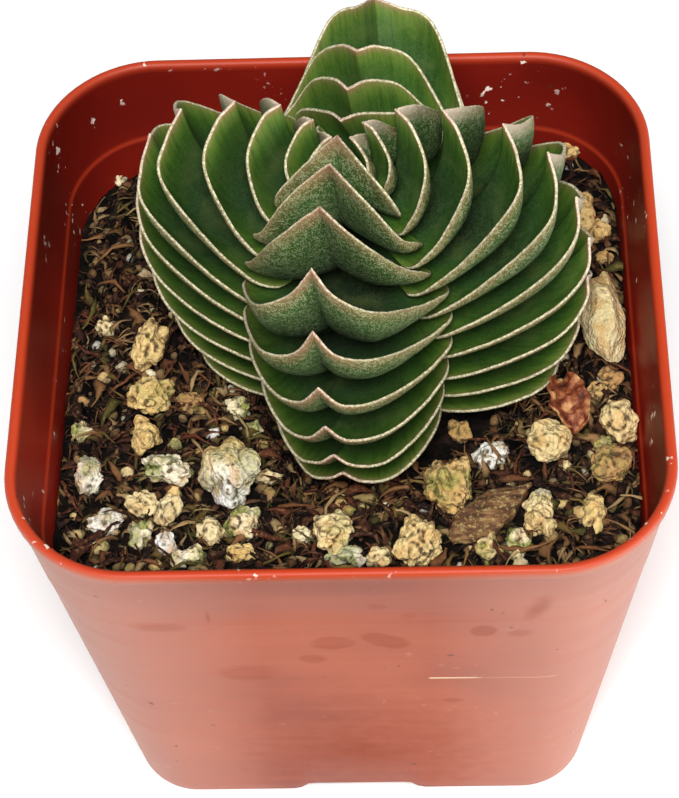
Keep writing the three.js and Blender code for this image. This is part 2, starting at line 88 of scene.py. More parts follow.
def add(tree, kind, inputs=None, stops=None, output=None, **settings):
    """Adds one node and returns its output, the first in use if none is named. inputs holds a
    value, a hex colour or a link for each socket, and stops a ramp's colours or values by place"""
    node = tree.nodes.new(kind)
    for name, value in settings.items():
        setattr(node, name, value)
    for socket, value in (inputs or {}).items():
        if isinstance(value, bpy.types.NodeSocket):
            tree.links.new(value, node.inputs[socket])
        elif isinstance(value, str) and value.startswith("#"):
            node.inputs[socket].default_value = linear(value)
        else:
            node.inputs[socket].default_value = value
    if stops:
        ramp = node.color_ramp.elements
        while len(ramp) < len(stops):
            ramp.new(1.0)
        for element, (place, colour) in zip(ramp, stops):
            element.position = place
            element.color = linear(colour) if isinstance(colour, str) else (colour, colour, colour, 1)
    if output:
        return node.outputs[output]
    return next((socket for socket in node.outputs if socket.enabled), None)


def new_finish(name, **uniform):
    """A material with one shader, whose uniform values are set on its own sockets"""
    material = bpy.data.materials.new(name)
    material.use_nodes = True
    tree = material.node_tree
    shader = tree.nodes["Principled BSDF"]
    for socket, value in uniform.items():
        shader.inputs[socket.replace("_", " ")].default_value = value
    return material, tree, shader


def new_piece(name, points, faces, material, smooth=True, closed=True):
    """A mesh object from points in millimetres. The faces of a closed one are turned outward"""
    mesh = bpy.data.meshes.new(name)
    mesh.from_pydata([Vector(p) * mm for p in points], [], faces)
    if closed:
        body = bmesh.new()
        body.from_mesh(mesh)
        bmesh.ops.recalc_face_normals(body, faces=body.faces)
        body.to_mesh(mesh)
        body.free()
    mesh.materials.append(material)
    mesh.polygons.foreach_set("use_smooth", [smooth] * len(mesh.polygons))
    mesh.update()
    piece = bpy.data.objects.new(name, mesh)
    bpy.context.collection.objects.link(piece)
    return piece


bpy.context.scene.view_settings.view_transform = "Standard"

# Painted board: even, matt, nearly white
board, tree, shader = new_finish("painted_board", Roughness=0.8)
shader.inputs["Base Color"].default_value = linear("#ffffff")
floor_half = 900
floor = new_piece(
    "floor",
    [(-floor_half, -floor_half, 0), (floor_half, -floor_half, 0),
     (floor_half, floor_half, 0), (-floor_half, floor_half, 0)],
    [(0, 1, 2, 3)],
    board,
    closed=False,
)


def soft_light(name, at, aim, size, watts):
    """A round area light at one point that faces another, with places and sizes in metres"""
    lamp = bpy.data.lights.new(name, "AREA")
    lamp.shape = "DISK"
    lamp.size = size
    lamp.energy = watts
    light = bpy.data.objects.new(name, lamp)
    light.location = at
    light.rotation_euler = (Vector(aim) - Vector(at)).to_track_quat("-Z", "Y").to_euler()
    bpy.context.collection.objects.link(light)


plant_middle = (0, 0, 0.06)
soft_light("main_softbox", (0.0, -0.30, 0.62), plant_middle, 0.24, 5.0)
soft_light("right_softbox", (0.50, -0.26, 0.16), plant_middle, 0.40, 2.3)
soft_light("left_softbox", (-0.50, -0.26, 0.16), plant_middle, 0.40, 0.6)
room_glow = 0.17
room = bpy.data.worlds.new("white_room")
room.use_nodes = True
backdrop = room.node_tree.nodes["Background"].inputs
backdrop["Color"].default_value = linear("#ffffff")
backdrop["Strength"].default_value = room_glow
bpy.context.scene.world = room


# Pot
# A thin square nursery pot, injection moulded in one piece from terracotta-red polypropylene.
# Its wall tapers to feet with a notch on each side, and a stiffer collar ends in a beaded rim.
rim_half = 38.0
foot_half = 30.7
pot_height = 71.8
rim_corner = 14.7
foot_corner = 9.0
wall = 1.1
step_inset = 0.45
bead_height = 1.6
bead_proud = 0.35
collar_inset = 1.35
ledge_height = pot_height - 12
step_height = pot_height - 14.5
floor_top = 3.4
recess_top = 2.2
notch_height = 2.0
notch_half = 7.8
notch_slope = 2.5
notch_flare = 0.4
drain_radius = 3.5
drain_offset = 16
drill_length = 6
drill_middle = 2.8


def pot_half_width(height):
    return foot_half + (rim_half - foot_half) * height / pot_height


def pot_corner(height):
    return foot_corner + (rim_corner - foot_corner) * height / pot_height


def round_square(height, inset, corner_steps=18, side_steps=44):
    """A square ring with round corners, anticlockwise from the middle of the right side"""
    radius = pot_corner(height) - inset
    straight = pot_half_width(height) - inset - radius
    ring = []
    for side in range(4):
        turn = Matrix.Rotation(math.radians(90 * side), 3, "Z")
        for k in range(side_steps):
            along = -straight + 2 * straight * k / side_steps
            ring.append((turn @ Vector((straight + radius, along, height)), along))
        for k in range(corner_steps):
            angle = math.radians(90 * k / corner_steps)
            corner = Vector((
                straight + radius * math.cos(angle), straight + radius * math.sin(angle), height))
            ring.append((turn @ corner, straight))
    return ring


def plain_square(height, inset):
    """The same ring without the places along its sides"""
    return [point for point, along in round_square(height, inset)]


def notched(ring, lift):
    """Foot points move up into the notch in the middle of each side"""
    points = []
    for point, along in ring:
        into = min(max((notch_half + notch_slope / 2 - abs(along)) / notch_slope, 0), 1)
        rise = (notch_height + lift) * into * into * (3 - 2 * into)
        points.append(Vector((point.x, point.y, max(point.z, rise))))
    return points


def loft(rings):
    """Points and faces of rings of equal length joined one to the next, with each end closed"""
    count = len(rings[0])
    points = [p for ring in rings for p in ring]
    faces = []
    for level_index in range(len(rings) - 1):
        for k in range(count):
            a = level_index * count + k
            b = level_index * count + (k + 1) % count
            faces.append((a, b, b + count, a + count))
    last = (len(rings) - 1) * count
    faces.append(tuple(reversed(range(count))))
    faces.append(tuple(range(last, last + count)))
    return points, faces


def on_front_wall(pixel_x, pixel_y):
    """Where the line of sight through a pixel meets the front wall, in millimetres"""
    sight = line_of_sight(pixel_x, pixel_y)
    point = camera_at / mm
    for step in range(sight_steps):
        point = point + sight * ((step_inset - pot_half_width(point.z) - point.y) / sight.y)
    return point


# What marks the front, by pixels of the photograph: middle across and down, half width, half
# height, tilt in degrees, the share of it that has its full strength, and that strength. The
# first is the duller lower middle of the wall, the others are dried drops
front_marks = [
    (372, 752, 140, 60, 0, 0.0, 0.75), (332, 643, 26, 7, -6, 0.75, 0.45), (386, 641, 31, 7, 36, 0.75, 0.5),
    (313, 659, 14, 5, 0, 0.7, 0.4), (248, 673, 38, 9, 0, 0.6, 0.35), (483, 631, 15, 6, 0, 0.75, 0.45),
    (408, 615, 10, 4, 0, 0.7, 0.3), (377, 606, 10, 3, 0, 0.7, 0.35), (538, 607, 14, 15, 20, 0.3, 0.45),
    (158, 627, 36, 6, 8, 0.4, 0.35), (520, 633, 15, 5, 0, 0.5, 0.3), (453, 700, 13, 3, 0, 0.6, 0.35),
    (208, 617, 3, 7, 0, 0.4, 0.4),
]
mark_depth = 8


def per_metre(size):
    """The scale of a pattern whose grains are size millimetres wide"""
    return 1 / (size * mm)


# Polypropylene, moulded: a soft satin sheen with faint flow streaks outside, a painted sheen that pales
# the corners, dried drops, specks of dirt and one long scratch. A painted highlight brightens the top of
# the rim, and the inside is painted darker as shade, with flecks of dried lime
plastic, tree, shader = new_finish(
    "moulded_polypropylene", IOR=1.49, Subsurface_Weight=0.06, Subsurface_Radius=(0.0016, 0.0005, 0.0003))
place = add(tree, "ShaderNodeTexCoord", output="Object")
inside = add(tree, "ShaderNodeAttribute", attribute_name="inside", output="Fac")
rim_highlight = add(tree, "ShaderNodeAttribute", attribute_name="rim", output="Fac")
flow = add(tree, "ShaderNodeMapping", {
    "Vector": place, "Scale": (per_metre(25), per_metre(25), per_metre(2.381))})
streaks = add(tree, "ShaderNodeTexNoise", {"Vector": flow, "Scale": 1.0, "Detail": 4.0})
cloud = add(tree, "ShaderNodeTexNoise", {"Vector": place, "Scale": per_metre(26.316), "Detail": 2.0})
terracotta = add(tree, "ShaderNodeValToRGB", {"Fac": cloud}, stops=[(0.38, "#863410"), (0.62, "#9a431c")])
# Painted sheen: the wall pales towards its corners, where grazing reflections of the room would fall
off_middle = add(tree, "ShaderNodeVectorMath", {0: place}, operation="ABSOLUTE")
off_x, off_y = (add(tree, "ShaderNodeSeparateXYZ", {0: off_middle}, output=axis) for axis in "XY")
to_corner = add(tree, "ShaderNodeMath", {0: off_x, 1: off_y}, operation="MINIMUM")
corner_sheen = add(tree, "ShaderNodeMapRange", {
    "Value": to_corner, "From Min": 10 * mm, "From Max": 29 * mm, "To Max": 0.75})
corner_sheened = add(tree, "ShaderNodeMix", {0: corner_sheen, 6: terracotta, 7: "#b87e6c"}, data_type="RGBA")
ragged = add(tree, "ShaderNodeTexNoise", {"Vector": place, "Scale": per_metre(2.381), "Detail": 2.0})
outwards = add(tree, "ShaderNodeMapRange", {"Value": ragged, "To Min": -0.35, "To Max": 0.35})
marked = 0.0
for pixel_x, pixel_y, half_across, half_down, tilt, core, strength in front_marks:
    middle = on_front_wall(pixel_x, pixel_y)
    half_width = (on_front_wall(pixel_x + half_across, pixel_y) - middle).length
    half_height = (on_front_wall(pixel_x, pixel_y + half_down) - middle).length
    from_middle = add(tree, "ShaderNodeMapping", {
        "Vector": place, "Location": middle * mm, "Rotation": (0, math.radians(tilt), 0),
        "Scale": Vector((half_width, mark_depth, half_height)) * mm}, vector_type="TEXTURE")
    distance = add(tree, "ShaderNodeVectorMath", {0: from_middle}, output="Value", operation="LENGTH")
    away = add(tree, "ShaderNodeMath", {0: distance, 1: outwards}, operation="ADD")
    mark = add(tree, "ShaderNodeMapRange", {
        "Value": away, "From Min": 1.0, "From Max": core, "To Max": strength})
    marked = add(tree, "ShaderNodeMath", {0: marked, 1: mark}, operation="MAXIMUM")
dried = add(tree, "ShaderNodeMix", {0: marked, 6: corner_sheened, 7: "#80300f"}, data_type="RGBA")
streak_share = add(tree, "ShaderNodeMapRange", {
    "Value": streaks, "From Min": 0.45, "From Max": 0.75, "To Max": 0.24})
streaked = add(tree, "ShaderNodeMix", {0: streak_share, 6: dried, 7: "#b06248"}, data_type="RGBA")
# Painted shade: the inner wall is a deeper, darker red than the outside
inside_shade = add(tree, "ShaderNodeValToRGB", {"Fac": cloud}, stops=[(0.38, "#66120a"), (0.65, "#841c10")])
walls = add(tree, "ShaderNodeMix", {0: inside, 6: streaked, 7: inside_shade}, data_type="RGBA")
# Painted highlight: the rim is a brighter red, most at its top, and the inner ledge half as bright
rim_highlighted = add(tree, "ShaderNodeMix", {0: rim_highlight, 6: walls, 7: "#b83c1e"}, data_type="RGBA")
flecks = add(tree, "ShaderNodeTexNoise", {"Vector": place, "Scale": per_metre(1.4286), "Detail": 3.0})
patches = add(tree, "ShaderNodeTexNoise", {"Vector": place, "Scale": per_metre(7.692), "Detail": 2.0})
in_fleck = add(tree, "ShaderNodeMapRange", {"Value": flecks, "From Min": 0.64, "From Max": 0.68})
in_patch = add(tree, "ShaderNodeMapRange", {"Value": patches, "From Min": 0.58, "From Max": 0.64})
flecked = add(tree, "ShaderNodeMath", {0: in_fleck, 1: in_patch}, operation="MULTIPLY")
off_outside = add(tree, "ShaderNodeMath", {0: inside, 1: rim_highlight}, operation="ADD")
lime_reach = add(tree, "ShaderNodeMath", {0: off_outside, 1: 0.06}, operation="MAXIMUM")
lime = add(tree, "ShaderNodeMath", {0: flecked, 1: lime_reach}, operation="MULTIPLY")
limed = add(tree, "ShaderNodeMix", {0: lime, 6: rim_highlighted, 7: "#e9d6c8"}, data_type="RGBA")

# A long pale scratch across the front, between two pixels of the photograph
scratch_left = (428, 678)
scratch_right = (560, 677)
scratch_width = 0.22
front_from = -25
start, end = on_front_wall(*scratch_left) * mm, on_front_wall(*scratch_right) * mm
x, y, z = (add(tree, "ShaderNodeSeparateXYZ", {0: place}, output=axis) for axis in "XYZ")
along = add(tree, "ShaderNodeMapRange", {"Value": x, "From Min": start.x, "From Max": end.x}, clamp=False)
line_height = add(tree, "ShaderNodeMapRange", {"Value": along, "To Min": start.z, "To Max": end.z})
over_line = add(tree, "ShaderNodeMath", {0: z, 1: line_height}, operation="SUBTRACT")
off_line = add(tree, "ShaderNodeMath", {0: over_line}, operation="ABSOLUTE")
on_line = add(tree, "ShaderNodeMapRange", {
    "Value": off_line, "From Min": scratch_width * mm, "From Max": 0.3 * scratch_width * mm})
depth = add(tree, "ShaderNodeValToRGB", {"Fac": along}, stops=[
    (0.0, 0.0), (0.02, 0.9), (0.34, 0.7), (0.42, 0.1), (0.96, 0.2), (1.0, 0.0)])
at_front = add(tree, "ShaderNodeMath", {0: y, 1: front_from * mm}, operation="LESS_THAN")
scored = add(tree, "ShaderNodeMath", {0: on_line, 1: depth}, operation="MULTIPLY")
scratch = add(tree, "ShaderNodeMath", {0: scored, 1: at_front}, operation="MULTIPLY")
scratched = add(tree, "ShaderNodeMix", {0: scratch, 6: limed, 7: "#f0dcae"}, data_type="RGBA")
specks = add(tree, "ShaderNodeTexNoise", {"Vector": place, "Scale": per_metre(1.6129), "Detail": 1.0})
dirt = add(tree, "ShaderNodeMapRange", {"Value": specks, "From Min": 0.775, "From Max": 0.8, "To Max": 0.8})
dirty = add(tree, "ShaderNodeMix", {0: dirt, 6: scratched, 7: "#5a2418"}, data_type="RGBA")
tree.links.new(dirty, shader.inputs["Base Color"])
haze = add(tree, "ShaderNodeMapRange", {"Value": marked, "To Min": 0.2, "To Max": 0.02})
tree.links.new(haze, shader.inputs["Specular IOR Level"])
dullness = add(tree, "ShaderNodeMapRange", {"Value": streaks, "To Min": 0.38, "To Max": 0.48})
tree.links.new(dullness, shader.inputs["Roughness"])
skin = add(tree, "ShaderNodeTexNoise", {"Vector": place, "Scale": per_metre(0.3846), "Detail": 2.0})
relief = add(tree, "ShaderNodeBump", {"Height": skin, "Strength": 0.25, "Distance": 0.06 * mm})
tree.links.new(relief, shader.inputs["Normal"])

rim_radius = (collar_inset - bead_proud) / 2 + 0.15
outer_profile = [
    (0.0, step_inset + 0.42), (0.18, step_inset + 0.16), (0.6, step_inset),
    (2.8, step_inset), (14.0, step_inset), (30.0, step_inset), (step_height - 0.9, step_inset),
    (step_height - 0.1, bead_proud + 0.02), (step_height + 0.6, bead_proud),
    (pot_height - bead_height - 0.5, bead_proud), (pot_height - bead_height - 0.1, 0.06),
    (pot_height - bead_height + 0.3, 0.0),
]
rim_highlight_shares = (0.15, 0.4, 0.85, 1.0, 0.9, 0.6, 0.3)
lip = []
for k in range(len(rim_highlight_shares)):
    angle = math.pi * k / (len(rim_highlight_shares) - 1)
    lip.append((pot_height - rim_radius + rim_radius * math.sin(angle), rim_radius * (1 - math.cos(angle))))
inner_inset = step_inset + wall + 0.22
inner_profile = [
    (pot_height - rim_radius - 0.5, collar_inset), (ledge_height + 0.5, collar_inset),
    (ledge_height + 0.1, inner_inset - 0.16), (ledge_height - 0.3, inner_inset),
    (30.0, inner_inset), (floor_top + 0.8, inner_inset), (floor_top, inner_inset + 0.8),
]
ledge_ring = 2
rings = [
    plain_square(recess_top, step_inset + wall + 0.8),
    notched(round_square(0.5, step_inset + wall + 0.35), 0.1),
    notched(round_square(0.0, step_inset + wall + 0.15), 0),
]
zone = ["under", "under", "under"]
for height, inset in outer_profile:
    if height < 1:
        rings.append(notched(round_square(height, inset), height * notch_flare))
    else:
        rings.append(plain_square(height, inset))
    zone.append("outside")
for k, (height, inset) in enumerate(lip):
    rings.append(plain_square(height, inset))
    zone.append(k)
for k, (height, inset) in enumerate(inner_profile):
    rings.append(plain_square(height, inset))
    zone.append("ledge" if k == ledge_ring else "inside")
pot_points, pot_faces = loft(rings)
pot = new_piece("moulded_pot", pot_points, pot_faces, plastic)
ring_size = len(rings[0])
# inside marks the inner wall and the rim's inner side, which take painted shade and lime; the rim's shares
# are painted highlight, most at the top of the rim
inside_values = {"inside": 1.0, "ledge": 1.0, 4: 0.4, 5: 0.9, 6: 1.0}
rim_highlight_values = {"ledge": 0.5, **dict(enumerate(rim_highlight_shares))}
for attribute, value_of in (("inside", inside_values), ("rim", rim_highlight_values)):
    layer = pot.data.attributes.new(attribute, "FLOAT", "POINT")
    layer.data.foreach_set("value", [value_of.get(zone[k // ring_size], 0.0) for k in range(len(pot_points))])

drill_mesh = bpy.data.meshes.new("drill")
drills = bmesh.new()
for across in (-drain_offset, drain_offset):
    for back in (-drain_offset, drain_offset):
        bmesh.ops.create_cone(
            drills, cap_ends=True, segments=40, radius1=drain_radius * mm, radius2=drain_radius * mm,
            depth=drill_length * mm, matrix=Matrix.Translation(Vector((across, back, drill_middle)) * mm))
drills.to_mesh(drill_mesh)
drills.free()
drill = bpy.data.objects.new("drill", drill_mesh)
bpy.context.collection.objects.link(drill)
cut = pot.modifiers.new("drains", "BOOLEAN")
cut.operation = "DIFFERENCE"
cut.solver = "EXACT"
cut.object = drill
drilled = bpy.data.meshes.new_from_object(pot.evaluated_get(bpy.context.evaluated_depsgraph_get()))
pot.modifiers.clear()
pot.data = drilled
bpy.data.objects.remove(drill)
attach(pot, "root")
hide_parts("pot")


# Soil
# A loose mix of dark peat crumbs, shredded bark and coir, filled to about 15 mm below the rim.
# It lies a little higher at the front right, and sinks in below the lowest leaves.
plant_foot = Vector((4.5, 3.5, 56))
soil_level = 56.6
rise_to_right = 0.055
rise_to_front = 0.03
hollow_level = 51.6
hollow_reach = 18
hollow_end = 27
hollow_slope = 0.02
swell_height = 0.35
soil_inset = step_inset + wall + 0.3


def smooth_step(value, low, high):
    """From 0 at low to 1 at high, with a soft start and end"""
    share = min(max((value - low) / (high - low), 0), 1)
    return share * share * (3 - 2 * share)


def soil_height(x, y):
    """Height of the soil without its crumbs: a wavy slope with a hollow below the leaves"""
    from_stem = math.hypot(x - plant_foot.x, y - plant_foot.y)
    clear = smooth_step(from_stem, hollow_reach, hollow_end)
    swell = swell_height * math.sin(x * 0.31 + 1) * math.cos(y * 0.27)
    open_level = soil_level + rise_to_right * x - rise_to_front * y + swell
    return (hollow_level + hollow_slope * from_stem) * (1 - clear) + open_level * clear


def on_soil(pixel_x, pixel_y):
    """Where the line of sight through a pixel of the photograph meets the soil, in millimetres"""
    sight = line_of_sight(pixel_x, pixel_y)
    point = camera_at / mm
    for step in range(sight_steps):
        drop = point.z - soil_height(point.x, point.y)
        point = point + sight * (drop / -sight.z)
    return point


# Peat: fine dark crumbs, their dark brown painted down to almost black as shade for the gaps, with a brown
# cast where they are dry
peat, tree, shader = new_finish("peat_crumbs", Roughness=0.95, IOR=1.45, Specular_IOR_Level=0.15)
place = add(tree, "ShaderNodeTexCoord", output="Object")
crumbs = add(tree, "ShaderNodeTexVoronoi", {"Vector": place, "Scale": per_metre(0.9091)})
tone = add(tree, "ShaderNodeTexNoise", {"Vector": place, "Scale": per_metre(2.381), "Detail": 5.0})
# Painted shade: the ramp runs down to near black for the gaps between what lies on the soil
earth_and_gap_shade = add(tree, "ShaderNodeValToRGB", {"Fac": tone}, stops=[
    (0.38, "#040302"), (0.56, "#130c08"), (0.75, "#33221a")])
tree.links.new(earth_and_gap_shade, shader.inputs["Base Color"])
relief = add(tree, "ShaderNodeBump", {"Height": crumbs, "Strength": 1.0, "Distance": 0.7 * mm})
tree.links.new(relief, shader.inputs["Normal"])

rings = []
soil_rings = 66
crumb_height = 0.75
crumbs_per_mm = 0.9
crumbs_begin = (12, 22)
ring_crowding = 0.85
outline = plain_square(soil_level, soil_inset)
for k in range(1, soil_rings + 1):
    share = (k / soil_rings) ** ring_crowding
    ring = []
    for p in outline:
        x, y = p.x * share, p.y * share
        crumb = crumb_height * noise.fractal(Vector((x, y, 0)) * crumbs_per_mm, 0.9, 2.0, 4)
        clear = smooth_step(math.hypot(x - plant_foot.x, y - plant_foot.y), *crumbs_begin)
        ring.append(Vector((x, y, soil_height(x, y) + crumb * clear)))
    rings.append(ring)
bottom = plain_square(floor_top + 0.3, soil_inset + 0.9)
skirt = plain_square(30, soil_inset)
soil_points, soil_faces = loft([bottom, skirt] + list(reversed(rings)))
soil = new_piece("potting_soil", soil_points, soil_faces, peat)
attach(soil, "root")
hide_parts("soil")


# Pumice and tan stones
# Rough, lumpy grains of pumice 4 to 9 mm across, cream to ochre, some bleached white and some
# green with algae, and a few smoother tan stones. They lie half sunk in the soil.
knob_spacing = 0.78
knob_height = 0.24
pit_spacing = 1.15
pit_reach = 0.36
pit_depth = 0.34
grit_per_mm = 1.5
grit_height = 0.2
cleft_reach = 0.06
cleft_depth = 0.045
lump_depth = 0.3
core_radius = 0.7
chip_count = 7


def rough_stone(at, size, turn, seed, lobes=9, lobe_size=0.42, grain=1.0, detail=4):
    """Points, faces and depth of hollows of one grain: lobes that run together, chipped in places.
    size is in millimetres, lobe_size a share of it, and grain how deep its pits and grit are"""
    draw = random.Random(seed)

    def any_way():
        return Vector((draw.gauss(0, 1), draw.gauss(0, 1), draw.gauss(0, 1))).normalized()

    ball = bmesh.new()
    bmesh.ops.create_icosphere(ball, subdivisions=detail, radius=1.0)
    ways = [vertex.co.normalized() for vertex in ball.verts]
    faces = [tuple(v.index for v in face.verts) for face in ball.faces]
    ball.free()
    core = core_radius if lobes < 3 else 1.0
    bumps = [(Vector((0, 0, 0)), core_radius)]
    for k in range(lobes):
        bumps.append((any_way() * draw.uniform(0.38, 0.66), lobe_size * draw.uniform(0.7, 1.25)))
    chips = [(any_way(), core * draw.uniform(0.72, 0.95)) for k in range(chip_count)]
    shift = Vector((seed * 7.31, seed * 3.77, seed * 5.13))
    raw, clefts = [], []
    for way in ways:
        hits = []
        for middle, radius in bumps:
            along = way.dot(middle)
            inside_square = along * along - middle.length_squared + radius * radius
            hits.append(along + math.sqrt(inside_square) if inside_square > 0 else 0)
        hits.sort()
        cleft = max(1 - (hits[-1] - hits[-2]) / cleft_reach, 0)
        reach = hits[-1] - cleft_depth * cleft
        for normal, distance in chips:
            facing = way.dot(normal)
            if facing > 0.1:
                reach = min(reach, distance / facing)
        reach *= 1 + lump_depth * min(grain, 1) * noise.noise(way * 1.7 + shift)
        raw.append(way * reach)
        clefts.append(cleft)
    stretch = []
    for axis in range(3):
        values = [p[axis] for p in raw]
        stretch.append((max(values) - min(values), (max(values) + min(values)) / 2))
    spin = Matrix.Rotation(math.radians(turn), 3, "Z")
    points, hollows = [], []
    for way, p, cleft in zip(ways, raw, clefts):
        body = Vector([(p[axis] - stretch[axis][1]) / stretch[axis][0] * size[axis] for axis in range(3)])
        grit = noise.fractal(body * grit_per_mm + shift, 0.75, 2.1, 6)
        knob = 0.45 - noise.voronoi(body / knob_spacing + shift)[0][0]
        pit = max(1 - noise.voronoi(body / pit_spacing - shift)[0][0] / pit_reach, 0)
        body += way * grain * (grit_height * grit + knob_height * knob - pit_depth * pit)
        points.append(spin @ body + Vector(at))
        hollow = min(max(0.6 * cleft + 0.9 * pit - 0.6 * grit - 0.7 * knob, 0), 1)
        hollows.append(min(grain, 1) * hollow)
    return points, faces, hollows


def set_value(piece, attribute, values):
    layer = piece.data.attributes.new(attribute, "FLOAT", "POINT")
    layer.data.foreach_set("value", values)


def mark_lift(mesh):
    """Stores how far each vertex is above the soil, for the dark foot of all that lies on it: soil stain and
    painted shade
    """
    layer = mesh.attributes.new("lift", "FLOAT", "POINT")
    spots = [vertex.co / mm for vertex in mesh.vertices]
    layer.data.foreach_set("value", [p.z - soil_height(p.x, p.y) for p in spots])


def above_soil(tree, lowest, highest):
    """From 0 at lowest to 1 at highest, in millimetres above the soil"""
    lift = add(tree, "ShaderNodeAttribute", attribute_name="lift", output="Fac")
    return add(tree, "ShaderNodeMapRange", {"Value": lift, "From Min": lowest, "From Max": highest})


# Pumice, broken: dull and porous, bright on the lobes, with painted shade that darkens its pores and clefts
# to dark ochre, green where algae hold. tone runs from white at 0 over cream to tan at 1, and algae from
# clean to overgrown
pumice, tree, shader = new_finish("pumice", Roughness=0.92, IOR=1.5)
place = add(tree, "ShaderNodeTexCoord", output="Object")
tone, algae, hollow = (
    add(tree, "ShaderNodeAttribute", attribute_name=name, output="Fac")
    for name in ("tone", "algae", "hollow"))
body = add(tree, "ShaderNodeValToRGB", {"Fac": tone}, stops=[
    (0.0, "#f4f2ec"), (0.3, "#f3e4b8"), (0.6, "#ebcb86"), (0.82, "#c49a62"), (1.0, "#7c5c40")])
cloud = add(tree, "ShaderNodeTexNoise", {"Vector": place, "Scale": per_metre(2.381), "Detail": 3.0})
stain = add(tree, "ShaderNodeMapRange", {"Value": cloud, "From Min": 0.45, "From Max": 0.66, "To Max": 0.6})
stained = add(tree, "ShaderNodeMix", {0: stain, 6: body, 7: "#ca944c"}, data_type="RGBA")
# Painted shade in the pores and clefts, deepest where the hollow is deepest
pore_shade = add(tree, "ShaderNodeMapRange", {"Value": hollow, "From Min": 0.1, "From Max": 0.65, "To Max": 0.94})
shaded = add(tree, "ShaderNodeMix", {0: pore_shade, 6: stained, 7: "#4a321a"}, data_type="RGBA")
grit = add(tree, "ShaderNodeTexNoise", {
    "Vector": place, "Scale": per_metre(0.6667), "Detail": 4.0, "Roughness": 0.65})
gritty = add(tree, "ShaderNodeMapRange", {"Value": grit, "From Min": 0.58, "From Max": 0.7, "To Max": 0.6})
speckled = add(tree, "ShaderNodeMix", {0: gritty, 6: shaded, 7: "#8a6630"}, data_type="RGBA")
spread = add(tree, "ShaderNodeTexNoise", {"Vector": place, "Scale": per_metre(3.0303), "Detail": 4.0})
patchy = add(tree, "ShaderNodeMapRange", {"Value": spread, "From Min": 0.42, "From Max": 0.56})
growth = add(tree, "ShaderNodeMath", {0: algae, 1: patchy}, operation="MULTIPLY")
green = add(tree, "ShaderNodeValToRGB", {"Fac": grit}, stops=[
    (0.4, "#2a3010"), (0.5, "#6f7a2a"), (0.62, "#a9ab55")])
grown = add(tree, "ShaderNodeMix", {0: growth, 6: speckled, 7: green}, data_type="RGBA")
# Darker at the foot where a stone meets the soil: soil stain and painted shade
clean = above_soil(tree, -0.3, 1.1)
soiled_and_shaded = add(tree, "ShaderNodeMix", {0: clean, 6: "#2a1a0e", 7: grown}, data_type="RGBA")
tree.links.new(soiled_and_shaded, shader.inputs["Base Color"])
pores = add(tree, "ShaderNodeTexVoronoi", {"Vector": place, "Scale": per_metre(0.3846)})
rough = add(tree, "ShaderNodeMath", {0: pores, 1: grit}, operation="ADD")
relief = add(tree, "ShaderNodeBump", {"Height": rough, "Strength": 0.8, "Distance": 0.22 * mm})
tree.links.new(relief, shader.inputs["Normal"])

# The stones that have a place of their own in the frame: at, size, turn, tone, algae, then the
# number and size of lobes and the depth of the grain. fading holds how much a stone's tone rises
# from its front to its back
fading = {"stone_white_large": 0.75, "stone_tan_large": 0.12}
framed_stones = {
    "stone_tan_large": ((31.6, 3.7, 60.8), (5.6, 12.2, 7.0), 8, 0.44, 0.25, 1, 0.45, 0.4),
    "stone_tan_back": ((29.2, 21.0, 59.6), (6.2, 7.0, 5.5), -25, 0.66, 0.1, 6, 0.5, 0.7),
    "stone_white_large": ((-13.5, -16.3, 58.6), (7.6, 9.0, 7.0), 15, 0.28, 0.5, 6, 0.5, 0.8),
    "stone_tan_rough": ((12.3, -18.6, 59.0), (6.0, 8.0, 6.0), 10, 0.7, 0.7, 16, 0.3, 1.4),
    "stone_cream_front": ((8.8, -27.0, 59.6), (5.6, 7.0, 6.0), -20, 0.55, 0.0, 14, 0.32, 1.0),
    "stone_cream_right": ((24.4, -13.3, 59.8), (5.4, 5.6, 5.0), 0, 0.5, 0.1, 8, 0.45, 0.8),
    "stone_cream_wall": ((32.6, -11.0, 60.6), (4.6, 6.2, 5.0), 12, 0.5, 0.15, 9, 0.4, 0.9),
    "stone_left_long": ((-24.0, 3.2, 57.8), (4.4, 7.4, 5.0), -18, 0.58, 0.15, 8, 0.42, 1.0),
    "stone_left_tan": ((-23.7, -4.3, 57.8), (6.0, 4.8, 4.4), 5, 0.62, 0.35, 14, 0.3, 1.5),
    "stone_left_cream": ((-24.2, -9.9, 57.8), (3.8, 5.0, 4.2), 20, 0.6, 0.1, 7, 0.45, 0.8),
    "stone_left_mossy": ((-21.2, -14.8, 57.6), (6.2, 3.4, 4.0), -12, 0.2, 1.0, 11, 0.36, 1.1),
    "stone_front_left": ((-1.1, -25.1, 58.6), (5.0, 4.8, 4.6), 40, 0.5, 0.5, 11, 0.36, 1.2),
    "stone_front_right": ((22.8, -24.6, 59.9), (3.8, 5.2, 4.6), 15, 0.5, 0.25, 8, 0.42, 0.9),
}
for seed, (name, shape) in enumerate(framed_stones.items()):
    at, size, turn, tone_share, algae_share, lobes, lobe_size, grain_depth = shape
    fine = 6 if name in fading else 5
    points, faces, hollows = rough_stone(at, size, turn, seed + 1, lobes, lobe_size, grain_depth, fine)
    stone = new_piece(name.replace("stone", "grain"), points, faces, pumice)
    set_value(stone, "hollow", hollows)
    mark_lift(stone.data)
    to_back = [(p.y - at[1]) / size[1] for p in points]
    set_value(stone, "tone", [tone_share + fading.get(name, 0) * share for share in to_back])
    set_value(stone, "algae", [algae_share * (1 - abs(share)) for share in to_back])
    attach(stone, "root")
    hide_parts(name)
    mossy = "mossy" in name or name == "stone_white_large"

